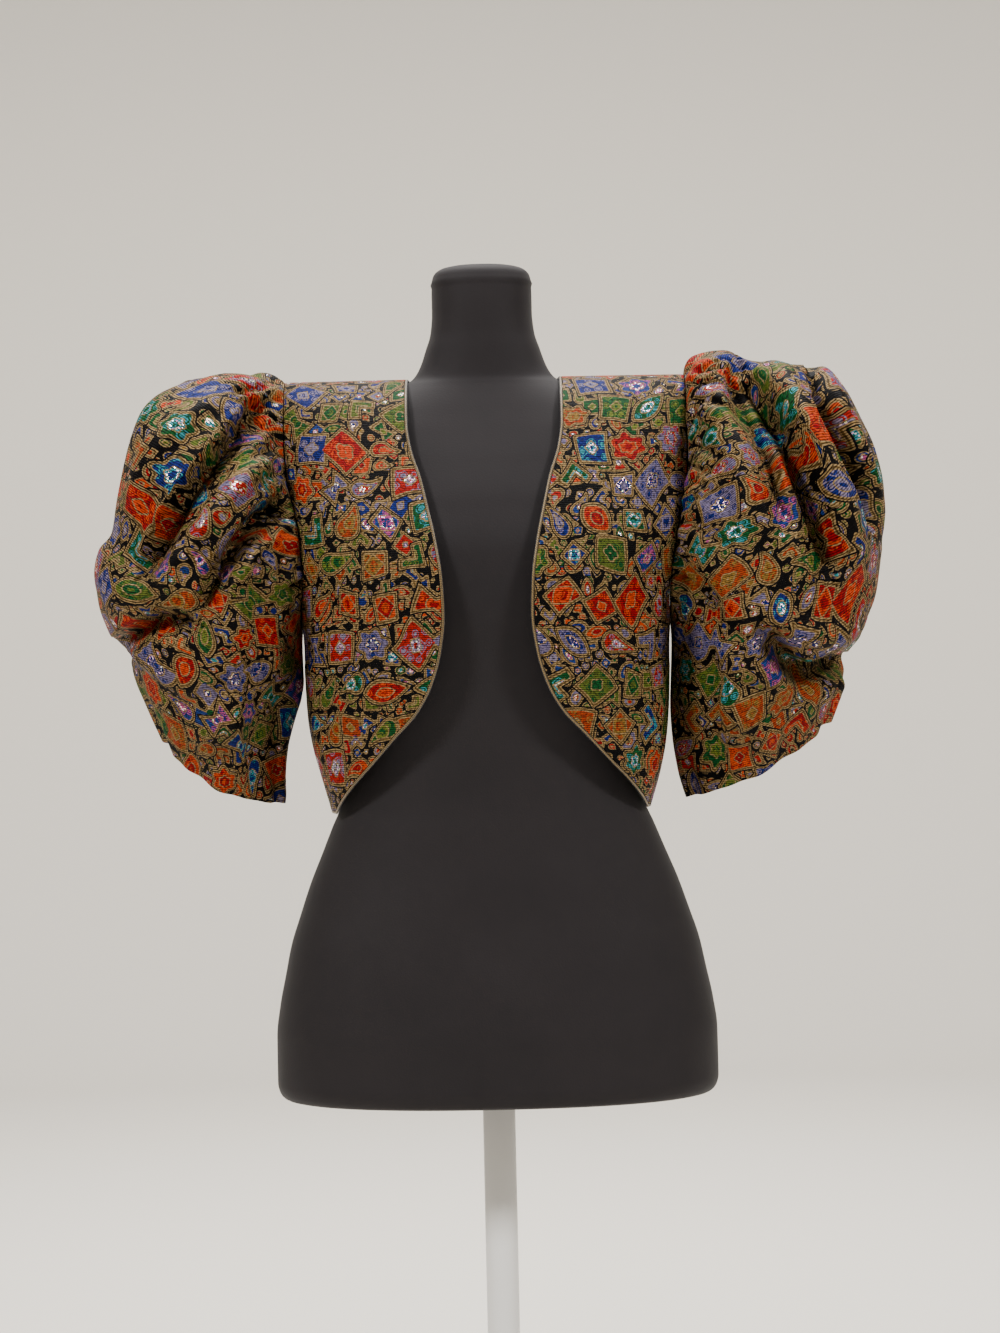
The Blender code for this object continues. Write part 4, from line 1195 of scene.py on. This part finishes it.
@dataclass
class Stand:
    """The pole, and a round base with a boss that the pole stands in."""

    pole_radius: float = 13.3
    pole_bottom: float = 4.3
    pole_top: float = 919.7
    pole_edge: float = 0.6
    base_radius: float = 170.0
    base_thickness: float = 8.0
    base_edge: float = 3.0
    foot_edge: float = 1.0      # chamfer round the base's underside
    boss_radius: float = 24.0
    boss_height: float = 32.0
    boss_edge: float = 2.0
    boss_shoulder: float = 0.6  # the boss's edge passes this close to its corner
    bore_floor: float = 4.0
    fillet: float = 9.0         # between the boss and the base
    steps: int = 128

    def add(self, name: str, node: str, profile: list[tuple[float, float]]) -> None:
        """A turned piece in enamel, in place of its node."""
        points, places = turned(np.array(profile, dtype=float), self.steps)
        faces = grid_faces(len(points), self.steps, 0, closed=True).tolist()
        piece = new_piece(name, points, faces, places, "stand_enamel")
        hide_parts(node)

    def build(self) -> None:
        """The pole and the base."""
        r, low, high, edge = self.pole_radius, self.pole_bottom, self.pole_top, self.pole_edge
        self.add("pole_tube", "stand_pole", [
            (0.0, low), (r - edge, low), (r, low + edge), (r, (low + high) / 2.0),
            (r, high - edge), (r - edge, high), (0.0, high)])
        quarter = np.linspace(0.0, np.pi / 2.0, 9)
        foot = [(self.boss_radius + self.fillet * (1.0 - math.cos(a)),
                 self.base_thickness + self.fillet * (1.0 - math.sin(a))) for a in quarter]
        edge, foot_edge = self.base_edge, self.foot_edge
        rim = [(self.base_radius - edge + edge * math.sin(a),
                self.base_thickness - edge + edge * math.cos(a)) for a in quarter]
        boss, top, bore = self.boss_radius, self.boss_height, self.pole_radius + SEAM_GAP
        shoulder = (boss - self.boss_shoulder, top - self.boss_shoulder)
        head = [(bore, self.bore_floor), (bore, top), (boss - self.boss_edge, top), shoulder,
                (boss, top - self.boss_edge)]
        under = [(self.base_radius, foot_edge), (self.base_radius - foot_edge, 0.0), (0.0, 0.0)]
        self.add("base_disc", "stand_base", [(0.0, self.bore_floor), *head, *foot, *rim, *under])


# Finishes

def linear(code: str) -> Colour:
    """A colour for a shader from its sRGB hex code."""
    parts = [int(code[i:i + 2], 16) / 255.0 for i in (0, 2, 4)]
    return (*(c / 12.92 if c <= 0.04045 else ((c + 0.055) / 1.055) ** 2.4 for c in parts), 1.0)


def set_inputs(tree: bpy.types.NodeTree, node: bpy.types.Node, inputs: dict) -> None:
    """Link each of a node's inputs to another node's output, or set its value."""
    for key, value in inputs.items():
        if isinstance(value, bpy.types.NodeSocket):
            tree.links.new(value, node.inputs[key])
        else:
            node.inputs[key].default_value = value


def add_node(tree: bpy.types.NodeTree, kind: str, inputs: dict | None = None,
             stops: list[tuple[float, Colour]] | None = None, **settings: object) -> bpy.types.Node:
    """Add a node with its settings and links.

    Args:
        tree: the material's nodes.
        kind: the node's type, after "ShaderNode".
        inputs: a value or another node's output for each socket's name or number.
        stops: a colour ramp's places and colours.
        settings: the node's own properties.

    Returns:
        The node.
    """
    node = tree.nodes.new(f"ShaderNode{kind}")
    for key, value in settings.items():
        setattr(node, key, value)
    set_inputs(tree, node, inputs or {})
    if stops:
        ramp = node.color_ramp
        ramp.interpolation = "CONSTANT"
        for number, (place, colour) in ((1, stops[-1]), (0, stops[0])):
            ramp.elements[number].position = place
            ramp.elements[number].color = colour
        for place, colour in stops[1:-1]:
            ramp.elements.new(place).color = colour
    return node


@dataclass(frozen=True)
class Finish:
    """A finish, whose material is painted once and shared by its pieces."""

    title = "finish"

    def build(self) -> bpy.types.Material:
        """The material, painted when it is first asked for."""
        if self.title not in bpy.data.materials:
            material = bpy.data.materials.new(self.title)
            material.use_nodes = True
            tree = material.node_tree
            set_inputs(tree, tree.nodes["Principled BSDF"], self.paint(partial(add_node, tree)))
        return bpy.data.materials[self.title]

    def paint(self, add: AddNode) -> dict:
        """What the shader's inputs are set or linked to."""
        raise NotImplementedError


@dataclass(frozen=True)
class JacquardBrocade(Finish):
    """Jacquard brocade: dyed and metallic yarns woven in figures on a black ground.

    The eye sees gold bands ribbed by the weft, pale outlines, flat coloured fills and
    points of lurex: metallic yarn, with painted glints where a quarter of its small cells are made pale.
    """

    title = "jacquard_brocade"
    ground: str = "050304"
    gold: str = "59421d"
    pale: str = "927850"
    # pale colour of the painted glints on the lurex
    spark: str = "dfe8ea"
    rib: float = 1.7            # the weft bars' spacing
    thread: float = 1.5         # real threads are 0.4 mm apart; drawn coarser so that they show
    glint: float = 1.0          # size of a point of lurex
    glint_start: float = 0.76   # a quarter of the points on lurex get a painted glint
    reach: float = 8.0          # distances shown by the ramps, each way
    heart_ring: float = 2.2     # width of the second colour inside a heart
    clearance: float = 1.0      # black ground left round a motif

    # First and second colour of each swatch, and whether the second one glitters
    swatches: tuple[tuple[str, str, float], ...] = (
        ("8c040c", "c23c10", 0.0), ("b83e12", "8c040c", 0.0), ("9c1610", "7c7088", 1.0),
        ("6c6280", "101f66", 1.0), ("101f66", "7c7088", 0.0), ("1a3474", "a8487a", 1.0),
        ("06481f", "2e8690", 1.0), ("525e1e", "06481f", 0.0), ("06481f", "626c24", 0.0),
        ("963610", "84632a", 0.0), ("101f66", "2e8690", 1.0), ("6c6280", "9c1610", 1.0),
    )

    def ramp(self, add: AddNode, value: object, stops: list) -> bpy.types.Node:
        """A constant ramp over a distance, its stops given in millimetres."""
        share = add("MapRange", {"Value": value, "From Min": -self.reach, "From Max": self.reach})
        placed = [((at + self.reach) / (2.0 * self.reach), colour) for at, colour in stops]
        return add("ValToRGB", {"Fac": share.outputs[0]}, stops=placed)

    def layer_colour(self, add: AddNode, below: object, glitter: object,
                     layer: MotifLayer) -> tuple[object, object]:
        """Draw a layer of motifs over what lies below.

        Args:
            add: adds a node to the material.
            below: the colour so far.
            glitter: the glitter so far.
            layer: the motifs.

        Returns:
            The colour and the glitter with the layer on top.
        """
        white, black = (1.0,) * 4, linear("000000")
        pale, gold, ground = linear(self.pale), linear(self.gold), linear(self.ground)
        reach, line = self.reach, layer.line
        field = add("Attribute", attribute_name=f"brocade_{layer.name}")
        distance, heart, swatch = add("SeparateXYZ", {0: field.outputs["Vector"]}).outputs
        starts = [number / len(self.swatches) for number in range(len(self.swatches))]
        first = add("ValToRGB", {"Fac": swatch}, stops=[
            (at, linear(row[0])) for at, row in zip(starts, self.swatches)]).outputs[0]
        second = add("ValToRGB", {"Fac": swatch}, stops=[
            (at, (*linear(row[1])[:3], row[2])) for at, row in zip(starts, self.swatches)])
        if layer is LAYERS[-1]:
            # The small motifs show through the large ones' fills as dots
            field = add("Attribute", attribute_name=f"brocade_{LAYERS[0].name}")
            small = add("SeparateXYZ", {0: field.outputs["Vector"]})
            dots = self.ramp(add, small.outputs[0], [
                (-reach, white), (-1.2, black), (-0.4, white), (0.2, black)])
            first = add("Mix", {0: dots.outputs[0], 6: first, 7: second.outputs[0]},
                        data_type="RGBA").outputs[2]
        ring = self.ramp(add, heart, [(-reach, black), (-line - self.heart_ring, white), (-line, black)])
        outline = self.ramp(add, heart, [(-reach, black), (-line, white), (line, black)])
        fill = first
        for mask, colour in ((ring, second.outputs[0]), (outline, pale)):
            fill = add("Mix", {0: mask.outputs[0], 6: fill, 7: colour}, data_type="RGBA").outputs[2]
        bands = [(line, gold), (layer.band - line, pale)] if layer.band else []
        border = self.ramp(add, distance, [
            (-reach, pale), *bands, (layer.band + line, ground),
            (layer.band + line + self.clearance, (*ground[:3], 0.0))])
        inside = add("Math", {0: distance, 1: -line}, operation="LESS_THAN")
        drawn = add("Mix", {0: inside.outputs[0], 6: border.outputs[0], 7: fill}, data_type="RGBA")
        colour = add("Mix", {0: border.outputs[1], 6: below, 7: drawn.outputs[2]}, data_type="RGBA")
        shining = second.outputs[1]
        for mask in (ring, inside):
            shining = add("Math", {0: shining, 1: mask.outputs[0]}, operation="MULTIPLY").outputs[0]
        over = add("Mix", {0: border.outputs[1], 2: glitter, 3: shining}, data_type="FLOAT")
        return colour.outputs[2], over.outputs[0]

    def paint(self, add: AddNode) -> dict:
        """The layers of motifs, ribbed by the weft, with painted glints on points of metallic lurex."""
        colour, glitter = linear(self.ground), 0.0
        for layer in LAYERS:
            colour, glitter = self.layer_colour(add, colour, glitter, layer)
        cloth = add("UVMap", uv_map="cloth").outputs[0]
        rib = add("TexWave", {"Vector": cloth, "Scale": WAVE_SCALE / (self.rib * MM), "Distortion": 1.2,
                              "Detail": 1.0, "Detail Scale": 1.5}, bands_direction="Y").outputs["Fac"]
        thread = add("TexNoise", {"Vector": cloth, "Scale": 0.7 / (self.thread * MM),
                                  "Detail": 2.0}).outputs["Fac"]
        relief = add("Math", {0: rib, 1: thread, 2: thread}, operation="MULTIPLY_ADD").outputs[0]
        shade = add("MapRange", {"Value": relief, "From Min": 0.35, "From Max": 1.05})
        ribbed = add("VectorMath", {0: colour, 3: shade.outputs[0]}, operation="SCALE")
        # Painted glints: a quarter of the small cells on lurex take a pale metallic colour
        cell = add("VectorMath", {0: cloth, 1: (self.glint * MM,) * 3}, operation="SNAP")
        spark = add("TexWhiteNoise", {"Vector": cell.outputs[0]}, noise_dimensions="2D")
        lit = add("Math", {0: spark.outputs["Value"], 1: self.glint_start}, operation="GREATER_THAN")
        lit = add("Math", {0: lit.outputs[0], 1: glitter}, operation="MULTIPLY").outputs[0]
        tint = add("Mix", {0: 0.6, 6: linear(self.spark), 7: spark.outputs["Color"]}, data_type="RGBA")
        final = add("Mix", {0: lit, 6: ribbed.outputs[0], 7: tint.outputs[2]}, data_type="RGBA")
        metal = add("MapRange", {"Value": lit, "To Min": 0.0, "To Max": 0.8})
        rough = add("MapRange", {"Value": lit, "To Min": 0.62, "To Max": 0.3})
        bump = add("Bump", {"Height": relief, "Strength": 0.55, "Distance": 0.6 * MM})
        return {"Base Color": final.outputs[2], "Metallic": metal.outputs[0],
                "Roughness": rough.outputs[0], "Specular IOR Level": 0.07, "Normal": bump.outputs[0]}


@dataclass(frozen=True)
class SatinPiping(Finish):
    """Corded piping in satin cut on the bias: olive gold, with painted shade on the side where it turns
    under.
    """

    title = "satin_piping"
    gold: str = "8a7040"
    valley: str = "4c3c20"
    # painted shade, near black, on the side of the cord that turns under towards the cloth and the form
    dark: str = "0e0b09"
    radius: float = 1.2
    hidden_half: float = 2.7    # half the length round the cord that turns under and takes the painted shade
    yarn: float = 0.9           # spacing of the slanting yarns

    def paint(self, add: AddNode) -> dict:
        """Slanting yarns, and painted shade on the side where the cord turns under."""
        cloth = add("UVMap", uv_map="cloth").outputs[0]
        wave = add("TexWave", {"Vector": cloth, "Scale": WAVE_SCALE / (self.yarn * MM),
                               "Distortion": 0.6}, bands_direction="DIAGONAL").outputs["Fac"]
        shade = add("Mix", {0: wave, 6: linear(self.valley), 7: linear(self.gold)}, data_type="RGBA")
        round_it = add("SeparateXYZ", {0: cloth})
        # where the painted shade lies: half way round the cord, on the side facing the part's axis
        under = add("Math", {0: round_it.outputs[0], 1: math.pi * self.radius * MM,
                             2: self.hidden_half * MM}, operation="COMPARE")
        both = add("Mix", {0: under.outputs[0], 6: shade.outputs[2], 7: linear(self.dark)},
                   data_type="RGBA")
        bump = add("Bump", {"Height": wave, "Strength": 0.4, "Distance": 0.3 * MM})
        return {"Base Color": both.outputs[2], "Roughness": 0.4, "Sheen Weight": 0.2,
                "Normal": bump.outputs[0]}


@dataclass(frozen=True)
class CloudedFinish(Finish):
    """A finish of two close colours in soft clouds, with a fine relief."""

    colour: str
    light: str
    cloud_scale: float
    grain: float                # size of the relief, in millimetres
    strength: float
    distance: float
    cloud_inputs: tuple[tuple[str, float], ...] = ()
    grain_inputs: tuple[tuple[str, float], ...] = ()
    surface: tuple[tuple[str, float], ...] = ()

    def paint(self, add: AddNode) -> dict:
        """Clouds of colour and a fine relief, both from soft noise."""
        place = add("TexCoord").outputs["Object"]
        cloud = add("TexNoise", {"Vector": place, "Scale": self.cloud_scale, **dict(self.cloud_inputs)})
        shade = add("Mix", {0: cloud.outputs["Fac"], 6: linear(self.colour), 7: linear(self.light)},
                    data_type="RGBA")
        grain = add("TexNoise", {"Vector": place, "Scale": 1.0 / (self.grain * MM),
                                 **dict(self.grain_inputs)})
        bump = add("Bump", {"Height": grain.outputs["Fac"], "Strength": self.strength,
                            "Distance": self.distance * MM})
        return {"Base Color": shade.outputs[2], **dict(self.surface), "Normal": bump.outputs[0]}


@dataclass(frozen=True)
class StretchJersey(CloudedFinish):
    """Stretch jersey over foam: near black and matt, with a soft sheen and faint wales."""

    title = "stretch_jersey"
    colour: str = "1c191b"
    light: str = "242123"
    cloud_scale: float = 14.0
    grain: float = 1.6          # real wales are 0.6 mm apart; drawn coarser so that they show
    strength: float = 0.25
    distance: float = 0.4
    cloud_inputs: tuple[tuple[str, float], ...] = (("Detail", 4.0), ("Roughness", 0.6))
    grain_inputs: tuple[tuple[str, float], ...] = (("Detail", 2.0),)
    surface: tuple[tuple[str, float], ...] = (
        ("Roughness", 0.72), ("Specular IOR Level", 0.15), ("Sheen Weight", 0.05))


@dataclass(frozen=True)
class GlossEnamel(CloudedFinish):
    """Stoved gloss enamel on steel: white, smooth, with a faint orange-peel."""

    title = "gloss_enamel"
    colour: str = "e9e8e6"
    light: str = "e2e1de"
    cloud_scale: float = 30.0
    grain: float = 2.5
    strength: float = 0.05
    distance: float = 0.3
    surface: tuple[tuple[str, float], ...] = (("Roughness", 0.22),)


@dataclass(frozen=True)
class MattPaint(Finish):
    """Matt wall paint: one pale colour with no shine."""

    title = "matt_paint"
    colour: str = "ddd8cf"

    def paint(self, add: AddNode) -> dict:
        """The paint's colour, and a rough surface."""
        return {"Base Color": linear(self.colour), "Roughness": 0.9}


FINISHES = {"brocade": JacquardBrocade(), "piping": SatinPiping(), "form_jersey": StretchJersey(),
            "stand_enamel": GlossEnamel()}


@dataclass(frozen=True)
class Studio:
    """A round pale floor that sweeps up into a wall all round, soft lights and the camera."""

    camera_place: tuple[float, float, float] = (0.0086, -2.6, 1.150)
    lens: float = 85.63
    sensor: float = 36.0
    roll: float = -1.24         # degrees
    wall_radius: float = 7500.0
    sweep: float = 1200.0
    wall_top: float = 5200.0
    steps: int = 96
    light_colour: tuple[float, float, float] = (1.0, 0.98, 0.95)
    world_colour: Colour = (0.95, 0.95, 0.94, 1.0)
    world_strength: float = 0.13

    # Each light's name, place, target, size and power
    lights: tuple[tuple, ...] = (
        ("key", (-1.8, -1.8, 3.0), (-0.1, 0.0, 1.2), 0.5, 92.0),
        ("second_key", (1.9, -1.7, 2.9), (0.1, 0.0, 1.2), 0.5, 78.0),
        ("top", (0.0, 1.2, 4.6), (0.0, 1.6, 0.0), 3.0, 420.0),
        ("floor_wash", (0.0, 4.0, 2.9), (0.0, 5.0, 0.0), 2.5, 120.0),
    )

    def backdrop(self) -> None:
        """The floor and wall as one turned sheet."""
        curve = [(self.wall_radius - self.sweep * (1.0 - math.sin(a)), self.sweep * (1.0 - math.cos(a)))
                 for a in np.linspace(0.0, np.pi / 2.0, 24)]
        profile = np.array([(0.0, 0.0), *curve, (self.wall_radius, self.wall_top)])
        points = turned(profile, self.steps)[0]
        mesh = bpy.data.meshes.new("backdrop")
        faces = grid_faces(len(profile), self.steps, 0, closed=True).tolist()
        mesh.from_pydata((points.reshape(-1, 3) * MM).tolist(), [], faces)
        mesh.shade_smooth()
        mesh.materials.append(MattPaint().build())
        sheet = bpy.data.objects.new("backdrop", mesh)
        bpy.context.scene.collection.objects.link(sheet)

    def light(self, name: str, place: tuple, target: tuple, size: float, power: float) -> None:
        """A square area light at a place, aimed at a target."""
        data = bpy.data.lights.new(name, "AREA")
        data.shape, data.size, data.energy, data.color = "SQUARE", size, power, self.light_colour
        lamp = bpy.data.objects.new(name, data)
        lamp.location = place
        aim = Vector(target) - Vector(place)
        lamp.rotation_euler = aim.to_track_quat("-Z", "Y").to_euler()
        bpy.context.scene.collection.objects.link(lamp)

    def build(self) -> None:
        """The backdrop, the lights, a dim even world and the camera."""
        self.backdrop()
        for row in self.lights:
            self.light(*row)
        world = bpy.data.worlds.new("studio")
        world.use_nodes = True
        sky = world.node_tree.nodes["Background"].inputs
        sky[0].default_value, sky[1].default_value = self.world_colour, self.world_strength
        bpy.context.scene.world = world
        data = bpy.data.cameras.new("camera")
        data.lens, data.sensor_width = self.lens, self.sensor
        camera = bpy.data.objects.new("camera", data)
        camera.location = self.camera_place
        level = Matrix.Rotation(math.radians(90.0), 3, "X")
        camera.rotation_euler = (level @ Matrix.Rotation(math.radians(self.roll), 3, "Z")).to_euler()
        bpy.context.scene.collection.objects.link(camera)
        bpy.context.scene.camera = camera


def main() -> None:
    """Build the studio, the stand, the form and the jacket in order."""
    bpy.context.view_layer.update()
    cut = BodyCut()
    Studio().build()
    Stand().build()
    DressForm().build()
    Panels(cut).build()
    Sleeve(Side.RIGHT, cut, hem_bow=14.0).build()
    Sleeve(Side.LEFT, cut, hem_bow=10.0).build()


if __name__ == "__main__":
    main()
